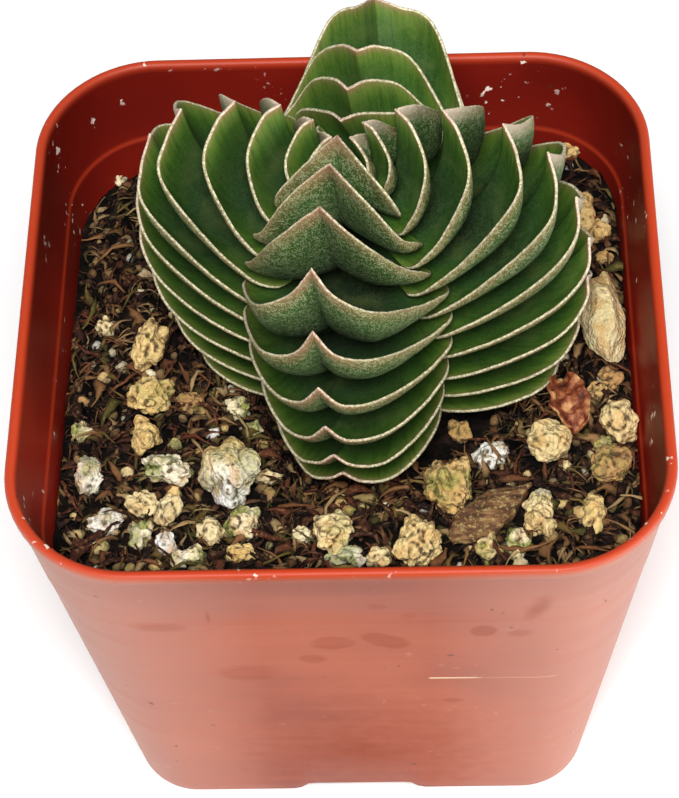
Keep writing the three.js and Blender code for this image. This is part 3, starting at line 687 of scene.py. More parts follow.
# Smaller grains, by the pixel of the photograph at each one's middle: pixel across, pixel
# down, width and depth in millimetres, tone and algae
small_grains = [
    (89, 480, 3.6, 5.4, 0.12, 0.7), (106, 527, 4.6, 3.4, 0.08, 0.45), (169, 515, 3.6, 4.6, 0.4, 0.1),
    (142, 508, 4.2, 3.6, 0.45, 0.1), (141, 538, 3.2, 4.0, 0.25, 0.9), (166, 547, 2.9, 3.0, 0.0, 0.1),
    (211, 535, 3.4, 3.8, 0.4, 0.1), (242, 527, 4.8, 4.4, 0.3, 0.9), (334, 532, 4.8, 4.6, 0.45, 0.3),
    (346, 561, 5.2, 2.8, 0.1, 0.7), (108, 331, 3.0, 2.8, 0.4, 0.1), (49, 440, 2.2, 2.2, 0.12, 0.0),
    (78, 435, 2.6, 3.4, 0.2, 0.8), (240, 556, 3.8, 2.4, 0.6, 0.1), (181, 562, 2.6, 2.4, 0.2, 0.5),
    (197, 557, 2.6, 2.4, 0.3, 0.8), (491, 463, 4.6, 5.0, 0.05, 0.25), (537, 515, 3.6, 4.8, 0.45, 0.3),
    (592, 518, 3.4, 5.4, 0.6, 0.6), (518, 546, 2.9, 4.6, 0.3, 1.0), (489, 550, 3.4, 3.8, 0.5, 0.7),
    (633, 465, 4.8, 5.6, 0.85, 0.5), (633, 382, 3.2, 3.6, 0.85, 0.0), (617, 234, 4.0, 3.6, 0.7, 0.1),
    (569, 140, 3.6, 2.2, 0.65, 0.1), (586, 229, 3.0, 3.2, 0.1, 0.0), (597, 393, 2.8, 3.0, 0.75, 0.3),
    (604, 447, 2.5, 2.4, 0.5, 0.7), (565, 467, 1.6, 1.9, 0.45, 0.0), (190, 407, 4.2, 3.2, 0.9, 0.3),
    (236, 412, 3.6, 3.4, 0.3, 0.9), (253, 432, 3.0, 2.0, 0.3, 0.8), (303, 538, 2.6, 2.2, 0.3, 0.4),
    (380, 560, 3.2, 2.6, 0.45, 0.5), (120, 166, 2.2, 2.2, 0.3, 0.1), (541, 500, 2.4, 2.0, 0.05, 0.5),
    (265, 480, 4.6, 2.2, 0.4, 1.0), (460, 435, 3.0, 3.4, 0.85, 0.2), (628, 355, 2.2, 2.2, 0.85, 0.2),
    (613, 260, 2.6, 2.0, 0.8, 0.2),
]
wall_clearance = 1.0
sunk_share = 0.26
height_share = 0.85
least_height = 0.3
finer_from = 3.5
points, faces, hollows, tones, growths = [], [], [], [], []
for seed, (pixel_x, pixel_y, width, depth, tone_share, algae_share) in enumerate(small_grains):
    at = on_soil(pixel_x, pixel_y)
    limit = pot_half_width(at.z) - soil_inset - wall_clearance
    height = height_share * min(width, depth) + least_height
    at.x = min(max(at.x, width / 2 - limit), limit - width / 2)
    at.y = min(max(at.y, depth / 2 - limit), limit - depth / 2)
    at.z = soil_height(at.x, at.y) + (0.5 - sunk_share) * height
    fine = 5 if width > finer_from else 4
    lumps = rough_stone(at, (width, depth, height), 0, seed + 41, 7 + seed % 5, 0.4, 0.9, fine)
    faces += [tuple(k + len(points) for k in face) for face in lumps[1]]
    points += lumps[0]
    hollows += lumps[2]
    tones += [tone_share] * len(lumps[0])
    growths += [algae_share] * len(lumps[0])
grains = new_piece("pumice_grains", points, faces, pumice)
set_value(grains, "hollow", hollows)
mark_lift(grains.data)
set_value(grains, "tone", tones)
set_value(grains, "algae", growths)
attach(grains, "root")


# Crumbs and shreds of the mix
# Small pumice grit, brown bark crumbs and torn, curled shreds of bark and coir lie all over the
# soil. They are strewn by rule, thickest where the soil is open and none below the leaves.
def flat_shred(length, width, curl, twist, seed, steps=7):
    """A torn flake with pointed ends, bent along its length and sideways"""
    draw = random.Random(seed)
    sideways = draw.uniform(-0.25, 0.25) * length
    points, faces = [], []
    for k in range(steps + 1):
        share = k / steps
        along = (share - 0.5) * length
        half = width / 2 * (0.2 + math.sin(math.pi * min(max(share, 0.05), 0.95)) * draw.uniform(0.45, 1.2))
        bend = curl * math.sin(math.pi * share) + draw.uniform(-0.2, 0.2)
        middle = sideways * math.sin(math.pi * share) + draw.uniform(-0.2, 0.2) * width
        lean = twist * (share - 0.5)
        for side, lift in ((-1, 0.1), (0, 0.32), (1, 0.1), (0, -0.06)):
            across = side * half * draw.uniform(0.7, 1.2)
            points.append(Vector((
                along, middle + across * math.cos(lean), bend + lift + across * math.sin(lean))))
    for k in range(steps):
        for side in range(4):
            a, b = k * 4 + side, k * 4 + (side + 1) % 4
            faces.append((a, b, b + 4, a + 4))
    faces += [(3, 2, 1, 0), (steps * 4, steps * 4 + 1, steps * 4 + 2, steps * 4 + 3)]
    return points, faces


def fibre_tuft(count, length, width, seed, steps=4):
    """Pointed, three-sided fibres that cross one another"""
    draw = random.Random(seed)
    points, faces = [], []
    for fibre in range(count):
        heading = draw.uniform(-0.9, 0.9)
        reach = length * draw.uniform(0.45, 1.0)
        bow = draw.uniform(-0.3, 0.3) * reach
        rise = draw.uniform(0.1, 1.1)
        beside = draw.uniform(-1.0, 1.0) * width * 2.5
        onward = Vector((math.cos(heading), math.sin(heading), 0))
        across = Vector((-math.sin(heading), math.cos(heading), 0))
        first = len(points)
        for k in range(steps + 1):
            share = k / steps
            swell = math.sin(math.pi * share)
            centre = onward * (share - 0.5) * reach + across * (bow * swell + beside)
            middle = centre + Vector((0, 0, rise * swell))
            for side in range(3):
                angle = 2 * math.pi * side / 3 + 2 * share
                points.append(middle + (across * math.cos(angle) + Vector((0, 0, 0.7 * math.sin(angle))))
                              * width * (0.12 + 0.5 * swell))
        for k in range(steps):
            for side in range(3):
                a, b = first + k * 3 + side, first + k * 3 + (side + 1) % 3
                faces.append((a, b, b + 3, a + 3))
        last = first + steps * 3
        faces += [(first + 2, first + 1, first), (last, last + 1, last + 2)]
    return points, faces


def keep_inside(mesh, clearance=0.25):
    """Draws back whatever would stick out through the pot's wall"""
    for vertex in mesh.vertices:
        x, y, z = vertex.co / mm
        half = pot_half_width(z) - soil_inset - clearance
        bend = pot_corner(z)
        x, y = min(max(x, -half), half), min(max(y, -half), half)
        out_x, out_y = abs(x) - half + bend, abs(y) - half + bend
        away = math.hypot(out_x, out_y)
        if out_x > 0 and out_y > 0 and away > bend:
            x = math.copysign(half - bend + out_x * bend / away, x)
            y = math.copysign(half - bend + out_y * bend / away, y)
        vertex.co = Vector((x, y, z)) * mm


def strewn(name, shapes, material, spacing, share, smallest, largest, tilt, seed):
    """The shapes laid over the soil's surface at random, as one plain mesh"""
    values = {"Spacing": spacing * mm, "Share": share, "Smallest": smallest, "Largest": largest,
              "Tilt": tilt, "Seed": seed}
    group = bpy.data.node_groups.new(name, "GeometryNodeTree")
    group.interface.new_socket("Surface", in_out="INPUT", socket_type="NodeSocketGeometry")
    sockets = {}
    for label in values:
        kind = "NodeSocketInt" if label == "Seed" else "NodeSocketFloat"
        sockets[label] = group.interface.new_socket(label, in_out="INPUT", socket_type=kind).identifier
    group.interface.new_socket("Mesh", in_out="OUTPUT", socket_type="NodeSocketGeometry")
    given = group.nodes.new("NodeGroupInput").outputs
    openness = add(group, "GeometryNodeInputNamedAttribute", {"Name": "open"}, data_type="FLOAT")
    density = add(group, "ShaderNodeMath", {0: openness, 1: given["Share"]}, operation="MULTIPLY")
    dots = add(group, "GeometryNodeDistributePointsOnFaces", {
        "Mesh": given["Surface"], "Distance Min": given["Spacing"], "Density Max": 4.0e6,
        "Density Factor": density, "Seed": given["Seed"]}, distribute_method="POISSON")
    kinds = group.nodes.new("GeometryNodeJoinGeometry")
    for shape in shapes:
        geometry = add(group, "GeometryNodeObjectInfo", {"Object": shape}, output="Geometry")
        group.links.new(add(group, "GeometryNodeGeometryToInstance", {0: geometry}), kinds.inputs[0])
    most = add(group, "ShaderNodeCombineXYZ", {"X": given["Tilt"], "Y": given["Tilt"], "Z": math.pi})
    least = add(group, "ShaderNodeVectorMath", {0: most, 1: (-1, -1, -1)}, operation="MULTIPLY")
    pose = add(group, "FunctionNodeRandomValue", {
        0: least, 1: most, 8: given["Seed"]}, data_type="FLOAT_VECTOR")
    size = add(group, "FunctionNodeRandomValue", {
        2: given["Smallest"], 3: given["Largest"]}, data_type="FLOAT")
    current = add(group, "GeometryNodeInstanceOnPoints", {
        "Points": dots, "Instance": kinds.outputs[0], "Pick Instance": True, "Rotation": pose, "Scale": size})
    for salt, attribute in enumerate(("tone", "algae")):
        draw = add(group, "FunctionNodeRandomValue", {8: 50 + salt}, data_type="FLOAT")
        current = add(group, "GeometryNodeStoreNamedAttribute", {
            "Geometry": current, "Name": attribute, "Value": draw}, data_type="FLOAT", domain="INSTANCE")
    real = add(group, "GeometryNodeRealizeInstances", {"Geometry": current})
    done = add(group, "GeometryNodeSetMaterial", {"Geometry": real, "Material": material})
    add(group, "NodeGroupOutput", {0: done})
    host = bpy.data.objects.new(name, seedbed.data)
    bpy.context.collection.objects.link(host)
    modifier = host.modifiers.new("strewing", "NODES")
    modifier.node_group = group
    for label, value in values.items():
        modifier[sockets[label]] = value
    mesh = bpy.data.meshes.new_from_object(host.evaluated_get(bpy.context.evaluated_depsgraph_get()))
    keep_inside(mesh)
    mark_lift(mesh)
    host.modifiers.clear()
    host.data = mesh
    mesh.polygons.foreach_set("use_smooth", [True] * len(mesh.polygons))
    for shape in shapes:
        bpy.data.objects.remove(shape)
    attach(host, "root")
    return host


# The surface that carries them: open is 1 on bare soil, and 0 below leaves, at walls and stones
cells = 96
bed_half = 35.0
bare_below_leaves = 16
bed_points, bed_faces, openness = [], [], []
for i in range(cells + 1):
    for j in range(cells + 1):
        x = -bed_half + 2 * bed_half * i / cells
        y = -bed_half + 2 * bed_half * j / cells
        z = soil_height(x, y)
        bed_points.append((x, y, z))
        wall_reach = pot_half_width(z) - soil_inset - 0.1
        bend = pot_corner(z)
        corner = math.hypot(max(abs(x) - wall_reach + bend, 0), max(abs(y) - wall_reach + bend, 0))
        free = 1.0 if max(abs(x), abs(y)) < wall_reach and corner < bend else 0.0
        if math.hypot(x - plant_foot.x, y - plant_foot.y) < bare_below_leaves:
            free = 0.0
        for at, size, *_ in framed_stones.values():
            if math.hypot(x - at[0], y - at[1]) < min(size[0], size[1]) * 0.5:
                free = 0.0
        openness.append(free)
for i in range(cells):
    for j in range(cells):
        a = i * (cells + 1) + j
        bed_faces.append((a, a + cells + 1, a + cells + 2, a + 1))
seedbed = new_piece("seedbed", bed_points, bed_faces, peat, closed=False)
set_value(seedbed, "open", openness)

# Bark and coir, shredded: dry and fibrous, from red-brown to grey tan on the raised edges, and
# here and there olive with moss. Painted shade turns them near black where they lie low on the soil
shreds, tree, shader = new_finish("shredded_bark", Roughness=0.85, IOR=1.45, Specular_IOR_Level=0.3)
place = add(tree, "ShaderNodeTexCoord", output="Object")
tone, algae = (
    add(tree, "ShaderNodeAttribute", attribute_name=name, output="Fac") for name in ("tone", "algae"))
fibre = add(tree, "ShaderNodeTexNoise", {
    "Vector": place, "Scale": per_metre(0.5263), "Detail": 4.0, "Roughness": 0.7})
brown = add(tree, "ShaderNodeValToRGB", {"Fac": tone}, stops=[
    (0.0, "#120805"), (0.3, "#34180e"), (0.55, "#5c2e1b"), (0.8, "#86603a"), (1.0, "#b59a6c")])
frayed = add(tree, "ShaderNodeMapRange", {"Value": fibre, "From Min": 0.52, "From Max": 0.66, "To Max": 0.6})
fibrous = add(tree, "ShaderNodeMix", {0: frayed, 6: brown, 7: "#936c42"}, data_type="RGBA")
moss = add(tree, "ShaderNodeMapRange", {"Value": algae, "From Min": 0.82, "From Max": 0.86, "To Max": 0.45})
mossy = add(tree, "ShaderNodeMix", {0: moss, 6: fibrous, 7: "#6a662c"}, data_type="RGBA")
# Painted shade: near black where the shreds lie low, under and between the others
raised = above_soil(tree, -0.3, 1.5)
low_shaded = add(tree, "ShaderNodeMix", {0: raised, 6: "#070403", 7: mossy}, data_type="RGBA")
tree.links.new(low_shaded, shader.inputs["Base Color"])
relief = add(tree, "ShaderNodeBump", {"Height": fibre, "Strength": 0.8, "Distance": 0.2 * mm})
tree.links.new(relief, shader.inputs["Normal"])

shred_shapes = [
    new_piece("shred_%d" % k, *flat_shred(length, width, curl, twist, k), shreds)
    for k, (length, width, curl, twist) in enumerate([
        (6.5, 1.5, 1.3, 1.6), (4.6, 1.9, 1.5, -1.4), (7.5, 0.9, 1.4, 1.8),
        (3.8, 2.2, 1.1, 1.3), (8.5, 0.6, 1.7, 0.9), (5.2, 1.3, 0.9, -1.6)])]
shred_layer = strewn(
    "bark_shreds", shred_shapes, shreds,
    spacing=1.3, share=0.9, smallest=0.35, largest=0.9, tilt=0.7, seed=11)
tuft_shapes = [
    new_piece("tuft_%d" % k, *fibre_tuft(5, length, width, 60 + k), shreds)
    for k, (length, width) in enumerate([(5.5, 0.34), (4.2, 0.42), (6.5, 0.28), (3.4, 0.5)])]
tuft_layer = strewn(
    "coir_tufts", tuft_shapes, shreds,
    spacing=2.0, share=0.8, smallest=0.5, largest=1.1, tilt=0.8, seed=29)


def crumb_shapes(prefix, material, lobe):
    """Five plain little lumps, a millimetre long, to be strewn"""
    shapes = []
    for k in range(5):
        size = (1.0, 0.75 + 0.08 * k, 0.65 + 0.05 * k)
        points, faces, hollows = rough_stone((0, 0, 0.12), size, 30 * k, 90 + k, 6, lobe, 0.4, 2)
        shape = new_piece("%s_%d" % (prefix, k), points, faces, material)
        set_value(shape, "hollow", hollows)
        shapes.append(shape)
    return shapes


grit_layer = strewn(
    "pumice_grit", crumb_shapes("grit", pumice, 0.45), pumice,
    spacing=2.5, share=0.55, smallest=0.8, largest=2.5, tilt=3.1, seed=23)
crumb_layer = strewn(
    "bark_crumbs", crumb_shapes("crumb", shreds, 0.5), shreds,
    spacing=1.5, share=0.8, smallest=0.6, largest=1.9, tilt=3.1, seed=37)
bpy.data.objects.remove(seedbed)


# Bark chip
# One thicker sliver of pine bark, about 11 mm long, lies askew on the grit in front of the
# plant. It is rough with fibres and half covered by pale dust.
bark_at = Vector((17.0, -23.4, 60.5))
bark_turn = 32
bark_tilt = 12
bark_sections = [(-5.6, 0.8, 0.6), (-3.0, 2.2, 1.2), (0.8, 2.4, 1.4), (5.9, 0.25, 0.3)]

# Pine bark, torn: dull brown, streaked along its fibres, with patches of pale dust
bark, tree, shader = new_finish("pine_bark", Roughness=0.9, IOR=1.45)
place = add(tree, "ShaderNodeTexCoord", output="Object")
fibres = add(tree, "ShaderNodeMapping", {
    "Vector": place, "Rotation": (0, 0, math.radians(-bark_turn)),
    "Scale": (per_metre(2.857), per_metre(0.6667), per_metre(1.1111))})
grain = add(tree, "ShaderNodeTexNoise", {"Vector": fibres, "Scale": 1.0, "Detail": 5.0})
dust = add(tree, "ShaderNodeTexNoise", {
    "Vector": place, "Scale": per_metre(0.5263), "Detail": 5.0, "Roughness": 0.7})
wood = add(tree, "ShaderNodeValToRGB", {"Fac": grain}, stops=[
    (0.3, "#2c190e"), (0.52, "#654328"), (0.75, "#9c784c")])
covered = add(tree, "ShaderNodeMapRange", {"Value": dust, "From Min": 0.53, "From Max": 0.6, "To Max": 0.7})
dusty = add(tree, "ShaderNodeMix", {0: covered, 6: wood, 7: "#b09a62"}, data_type="RGBA")
tree.links.new(dusty, shader.inputs["Base Color"])
relief = add(tree, "ShaderNodeBump", {"Height": grain, "Strength": 1.0, "Distance": 0.4 * mm})
tree.links.new(relief, shader.inputs["Normal"])


def between(sections, along):
    """Half width and half height at a place along the chip"""
    for first, second in zip(sections, sections[1:]):
        if along <= second[0]:
            share = smooth_step(along, first[0], second[0])
            return [first[k] + (second[k] - first[k]) * share for k in (1, 2)]
    return sections[-1][1:]


place_bark = (Matrix.Translation(bark_at) @ Matrix.Rotation(math.radians(bark_turn), 4, "Z")
              @ Matrix.Rotation(math.radians(-bark_tilt), 4, "Y"))
bark_steps = 40
bark_sides = 36
raggedness = 0.22
rings = []
for k in range(bark_steps + 1):
    along = bark_sections[0][0] + (bark_sections[-1][0] - bark_sections[0][0]) * k / bark_steps
    half_width, half_height = between(bark_sections, along)
    ring = []
    for side in range(bark_sides):
        angle = -2 * math.pi * side / bark_sides
        around = Vector((along * 0.5, math.cos(angle) * 2.2, math.sin(angle) * 2.2))
        rough = 1 + raggedness * noise.fractal(around, 1, 2, 4)
        ring.append(place_bark @ Vector((
            along, half_width * math.cos(angle) * rough, half_height * math.sin(angle) * rough)))
    rings.append(ring)
bark_piece = new_piece("bark_sliver", *loft(list(reversed(rings))), bark)
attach(bark_piece, "root")
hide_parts("bark_chip")


# Dead leaf
# A shed leaf, dried red-brown and curled up like a trough, with a wrinkled, papery skin.
dead_at = Vector((26.9, -8.4, 60.9))
dead_length = 7.6
dead_width = 4.6
dead_thickness = 0.6
dead_curl = 1.5
dead_arch = 0.5
dead_turn = 12
dead_ragged = 0.32
dead_wrinkle = 0.6

# Leaf, dried: papery and matt, its own red-browns and tans laid on its crinkles, with painted shade dark red
# in the folds and painted highlight tan on the ridges
dry, tree, shader = new_finish("dried_leaf", Roughness=0.6, IOR=1.45)
place = add(tree, "ShaderNodeTexCoord", output="Object")
crinkle = add(tree, "ShaderNodeTexNoise", {"Vector": place, "Scale": per_metre(1.25), "Detail": 4.0})
# Painted shade in the folds and painted highlight on the ridges, over the leaf's own colours
husk_shade_and_highlight = add(tree, "ShaderNodeValToRGB", {"Fac": crinkle}, stops=[
    (0.32, "#451a0d"), (0.5, "#8a4526"), (0.68, "#c8935e")])
tree.links.new(husk_shade_and_highlight, shader.inputs["Base Color"])
relief = add(tree, "ShaderNodeBump", {"Height": crinkle, "Strength": 1.0, "Distance": 0.4 * mm})
tree.links.new(relief, shader.inputs["Normal"])

turn_dead = Matrix.Translation(dead_at) @ Matrix.Rotation(math.radians(dead_turn), 4, "Z")
dead_columns = 25
dead_rows = 33
upper, lower = [], []
for i in range(dead_columns):
    for j in range(dead_rows):
        across = 2 * i / (dead_columns - 1) - 1
        along = 2 * j / (dead_rows - 1) - 1
        ragged = 1 + dead_ragged * noise.fractal(Vector((along * 2.6, across, 8.0)), 1, 2, 3)
        half_width = dead_width / 2 * (1.05 - along * along) ** 0.4 * ragged
        wrinkle = dead_wrinkle * noise.fractal(Vector((across * 1.9, along * 3.4, 3.0)), 0.9, 2, 4)
        arch = dead_curl * (across * across - 0.5) + dead_arch * math.cos(2.4 * along) + wrinkle
        spot = Vector((across * half_width, along * dead_length / 2, arch))
        upper.append(turn_dead @ (spot + Vector((0, 0, dead_thickness / 2))))
        lower.append(turn_dead @ (spot - Vector((0, 0, dead_thickness / 2))))


def thin_sheet(upper, lower, columns, rows):
    """Points and faces of a closed sheet from an upper and a lower grid"""
    offset = len(upper)
    faces = []
    for i in range(columns - 1):
        for j in range(rows - 1):
            a = i * rows + j
            faces.append((a, a + rows, a + rows + 1, a + 1))
            faces.append((a + offset, a + offset + 1, a + offset + rows + 1, a + offset + rows))
    edge = [i * rows for i in range(columns - 1)] + [(columns - 1) * rows + j for j in range(rows - 1)]
    edge += [i * rows + rows - 1 for i in range(columns - 1, 0, -1)] + list(range(rows - 1, 0, -1))
    for k, a in enumerate(edge):
        b = edge[(k + 1) % len(edge)]
        faces.append((a, a + offset, b + offset, b))
    return upper + lower, faces


dead_piece = new_piece("curled_leaf", *thin_sheet(upper, lower, dead_columns, dead_rows), dry)
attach(dead_piece, "root")
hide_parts("dead_leaf")


# Stem
# A short fleshy stem, olive and smooth, which the leaves clasp. Only its root end is in the
# soil, and it shows no more than a glimpse between the leaves.
plant_turn = -9.5
lean_left = 4.5
lean_back = 3.1
stem_foot_radius = 3.2
stem_top_radius = 1.5
stem_top = 33
root_depth = 16
touch_gap = 0.3
place_plant = (Matrix.Translation(plant_foot) @ Matrix.Rotation(math.radians(-lean_back), 4, "X")
               @ Matrix.Rotation(math.radians(-lean_left), 4, "Y")
               @ Matrix.Rotation(math.radians(plant_turn), 4, "Z"))

# Succulent stem: smooth and half glossy, olive with tan streaks
stem_skin, tree, shader = new_finish("stem_skin", Roughness=0.5, IOR=1.4)
place = add(tree, "ShaderNodeTexCoord", output="Object")
streak = add(tree, "ShaderNodeTexNoise", {"Vector": place, "Scale": per_metre(2.0), "Detail": 3.0})
olive = add(tree, "ShaderNodeValToRGB", {"Fac": streak}, stops=[(0.3, "#5f6a34"), (0.7, "#8a8650")])
tree.links.new(olive, shader.inputs["Base Color"])


def plant_ring(radius, height, sides=32):
    """A ring round the stem's axis, at a height above the plant's foot"""
    return [place_plant @ Vector((radius * math.cos(2 * math.pi * k / sides),
                                  radius * math.sin(2 * math.pi * k / sides), height)) for k in range(sides)]


stem = new_piece("fleshy_stem", *loft([
    plant_ring(0.8, -root_depth), plant_ring(2.2, -root_depth * 0.7), plant_ring(stem_foot_radius, -1),
    plant_ring(stem_foot_radius, 0), plant_ring((stem_foot_radius + stem_top_radius) / 2, stem_top / 2),
    plant_ring(stem_top_radius, stem_top)]), stem_skin)
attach(stem, "root")
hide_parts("stem")


# Leaves
# Forty fleshy leaves in four ranks, each a wide scoop with a pinched, pointed tip. The inner
# face is smooth and dark green. The outer face and the thick edge are frosted with tiny white
# papillae, and a thin cream line runs along the upper edge, pink to brown towards the tip.
# Each stage as the solids have it, from the youngest leaf to the oldest: row, half width, the
# margin's reach from the stem's axis and height above the plant's foot from tip to corner, and
# the knee where the blade turns up. The young leaves at front and back close more tightly.
outer_stages = [
    (4.5, 12.5, ((20.4, 39.7), (21.8, 36.9), (21.5, 34.4), (14.8, 27.6), (8.4, 23.6)), (0.95, 0.08, 0)),
    (6.5, 12.6, ((26.1, 26.4), (26.1, 23.4), (23.4, 21.6), (17.2, 19.0), (9.6, 16.2)), (0.9, 0.15, 0)),
    (8.5, 10.8, ((25.5, 12.9), (25.6, 11.3), (23.2, 9.1), (17.8, 8.2), (9.2, 6.2)), (0.84, 0.22, 0)),
    (10.0, 9.7, ((22.4, 3.5), (22.4, 2.3), (21.1, 1.1), (16.6, 0.7), (8.8, 0.0)), (0.75, 0.3, 0)),
]
side_stages = [
    (0.0, 3.8, ((0.95, 38.0), (1.8, 37.8), (2.9, 36.8), (3.3, 36.2), (3.2, 35.7)), (1, 0.05, 1.5)),
    (1.0, 4.5, ((2.7, 40.6), (4.1, 40.1), (5.6, 37.5), (5.7, 35.8), (4.9, 34.2)), (1, 0.05, 3.2)),
    (2.5, 9.9, ((8.4, 43.3), (10.4, 42.2), (11.9, 38.6), (10.2, 33.2), (7.6, 30.4)), (0.99, 0.05, 0)),
] + outer_stages
front_stages = [
    (1.5, 7.5, ((1.0, 39.5), (2.5, 39.0), (4.3, 37.5), (5.9, 35.7), (6.4, 33.1)), (1, 0.05, 4.8)),
    (2.5, 10.0, ((5.5, 39.9), (7.4, 39.4), (9.2, 37.1), (9.6, 32.4), (7.9, 30.4)), (1, 0.05, 3)),
    (3.5, 11.1, ((11.7, 39.7), (13.3, 38.9), (14.2, 36.1), (12.2, 30.4), (9.4, 27.0)), (0.97, 0.06, 0)),
] + outer_stages
margin_shares = (0, 0.2, 0.5, 0.8, 1)
clasp = 62
base_drop = 2.2
base_thickness = 0.85
blade_thickness = 1.5
young_thickness = 0.5
thickness_per_width = 0.14
margin_thickness = 0.8
corner_thickness = 0.45
thickest_at = 0.6
young_drift = 0.65
corner_start = 0.84
corner_cut = 0.34
sharp_from = 0.6
sharp_edge = 0.42


def at_row(stages, row, pick):
    """A value of the leaf at any row, from a smooth curve through the stages"""
    last = len(stages) - 1
    k = 0
    while k < last - 1 and row > stages[k + 1][0]:
        k += 1
    before, start, end, after = stages[max(k - 1, 0)], stages[k], stages[k + 1], stages[min(k + 2, last)]
    span = end[0] - start[0]
    slope_in = (pick(end) - pick(before)) / (end[0] - before[0])
    slope_out = (pick(after) - pick(start)) / (after[0] - start[0])
    x = (row - start[0]) / span
    return (pick(start) * (2 * x ** 3 - 3 * x ** 2 + 1) + pick(end) * (3 * x ** 2 - 2 * x ** 3)
            + span * (slope_in * (x ** 3 - 2 * x ** 2 + x) + slope_out * (x ** 3 - x ** 2)))


def leaf_rule(stages, row):
    """The margin's five points, the knee and the half width of the leaf at a row"""
    half = at_row(stages, row, lambda stage: stage[1])
    margin = [Vector((at_row(stages, row, lambda stage: stage[2][k][0]), margin_shares[k] * half,
                      at_row(stages, row, lambda stage: stage[2][k][1]))) for k in range(5)]
    return margin, [at_row(stages, row, lambda stage: stage[3][k]) for k in range(3)], half


def margin_point(margin, share):
    """A point on a smooth curve through the margin's five points"""
    place = share * (len(margin) - 1)
    k = min(int(place), len(margin) - 2)
    x = place - k
    start, end = margin[k], margin[k + 1]
    before = margin[k - 1] if k > 0 else start * 2 - end
    after = margin[k + 2] if k + 2 < len(margin) else end * 2 - start
    slope_in, slope_out = (end - before) / 2, (after - start) / 2
    return (start + slope_in * x + (end * 3 - start * 3 - slope_in * 2 - slope_out) * x ** 2
            + (start * 2 - end * 2 + slope_in + slope_out) * x ** 3)


def upper_point(margin, knee, drift, share, length):
    """The upper face: each line runs from the stem out to a knee and up to the margin. The blade
    ends sooner at its corners, which rounds them"""
    at_corner = max((abs(share) - corner_start) / (1 - corner_start), 0)
    length *= 1 - corner_cut * at_corner ** 2.4
    edge = margin_point(margin, abs(share))
    base_height = margin[4].z - base_drop
    grown = min(max(base_height / stem_top, 0), 1)
    radius = stem_foot_radius + (stem_top_radius - stem_foot_radius) * grown + touch_gap
    angle = math.radians(clasp) * abs(share)
    base = Vector((radius * math.cos(angle), radius * math.sin(angle), base_height))
    bend = Vector((max(edge.x * knee[0], knee[2]), edge.y * knee[0], base.z + (edge.z - base.z) * knee[1]))
    point = base * (1 - length) ** 2 + bend * (2 * length * (1 - length)) + edge * length ** 2
    if share < 0:
        point.y = -point.y
    elif share == 0:
        point.y = 0.0
    return point + drift * length ** 2


def leaf_thickness(half, share, length):
    """Thickness at a place on the leaf: full in the middle, thin at its corners and its margin"""
    blade = min(young_thickness + thickness_per_width * half, blade_thickness)
    if length < thickest_at:
        middle = base_thickness + (blade - base_thickness) * length / thickest_at
    else:
        middle = blade + (margin_thickness - blade) * (length - thickest_at) / (1 - thickest_at)
    middle *= 1 - (1 - sharp_edge) * max((length - sharp_from) / (1 - sharp_from), 0) ** 1.3
    return middle + (min(corner_thickness, middle) - middle) * abs(share) ** 2.2
# Succulent leaf, alive: waxy, satin green inside with fine lengthwise veins, duller deep down and
# darkened there with painted shade, frosted with papillae outside and darker away from the margin with
# painted shade, with a beaded cream line along a faintly blushed margin. edge is the distance in
# millimetres from that line, below zero on the inner face and above it over the thick edge and the outer
# face. across is the way across the leaf, for the veins. tip says how near the tip a place is, dim how
# much painted shade darkens the inner face, and pale how frosted the tip is and how much painted glare
# pales it further
leaf_skin, tree, shader = new_finish(
    "frosted_succulent_leaf", IOR=1.4, Subsurface_Weight=0.06, Subsurface_Radius=(0.0003, 0.0007, 0.0001))
place = add(tree, "ShaderNodeTexCoord", output="Object")
edge, across, tip, dim, pale = (
    add(tree, "ShaderNodeAttribute", attribute_name=name, output="Fac")
    for name in ("edge", "across", "tip", "dim", "pale"))
mottle = add(tree, "ShaderNodeTexNoise", {"Vector": place, "Scale": per_metre(4.1667), "Detail": 4.0})
vein_across = add(tree, "ShaderNodeMath", {0: across, 1: 2.6}, operation="MULTIPLY")
vein_along = add(tree, "ShaderNodeMath", {0: edge, 1: 0.16}, operation="MULTIPLY")
vein_place = add(tree, "ShaderNodeCombineXYZ", {"X": vein_across, "Y": vein_along})
veins = add(tree, "ShaderNodeTexNoise", {
    "Vector": vein_place, "Scale": 1.0, "Detail": 3.0, "Roughness": 0.6})
cell = add(tree, "ShaderNodeTexVoronoi", {"Vector": place, "Scale": per_metre(0.1923), "Randomness": 1.0})
thin_out = add(tree, "ShaderNodeTexNoise", {"Vector": place, "Scale": per_metre(0.5263), "Detail": 3.0})
reach = add(tree, "ShaderNodeMapRange", {
    "Value": thin_out, "From Min": 0.3, "From Max": 0.62, "To Min": 0.22, "To Max": 0.85})
papilla = add(tree, "ShaderNodeMapRange", {"Value": cell, "From Min": reach, "From Max": 0.0})
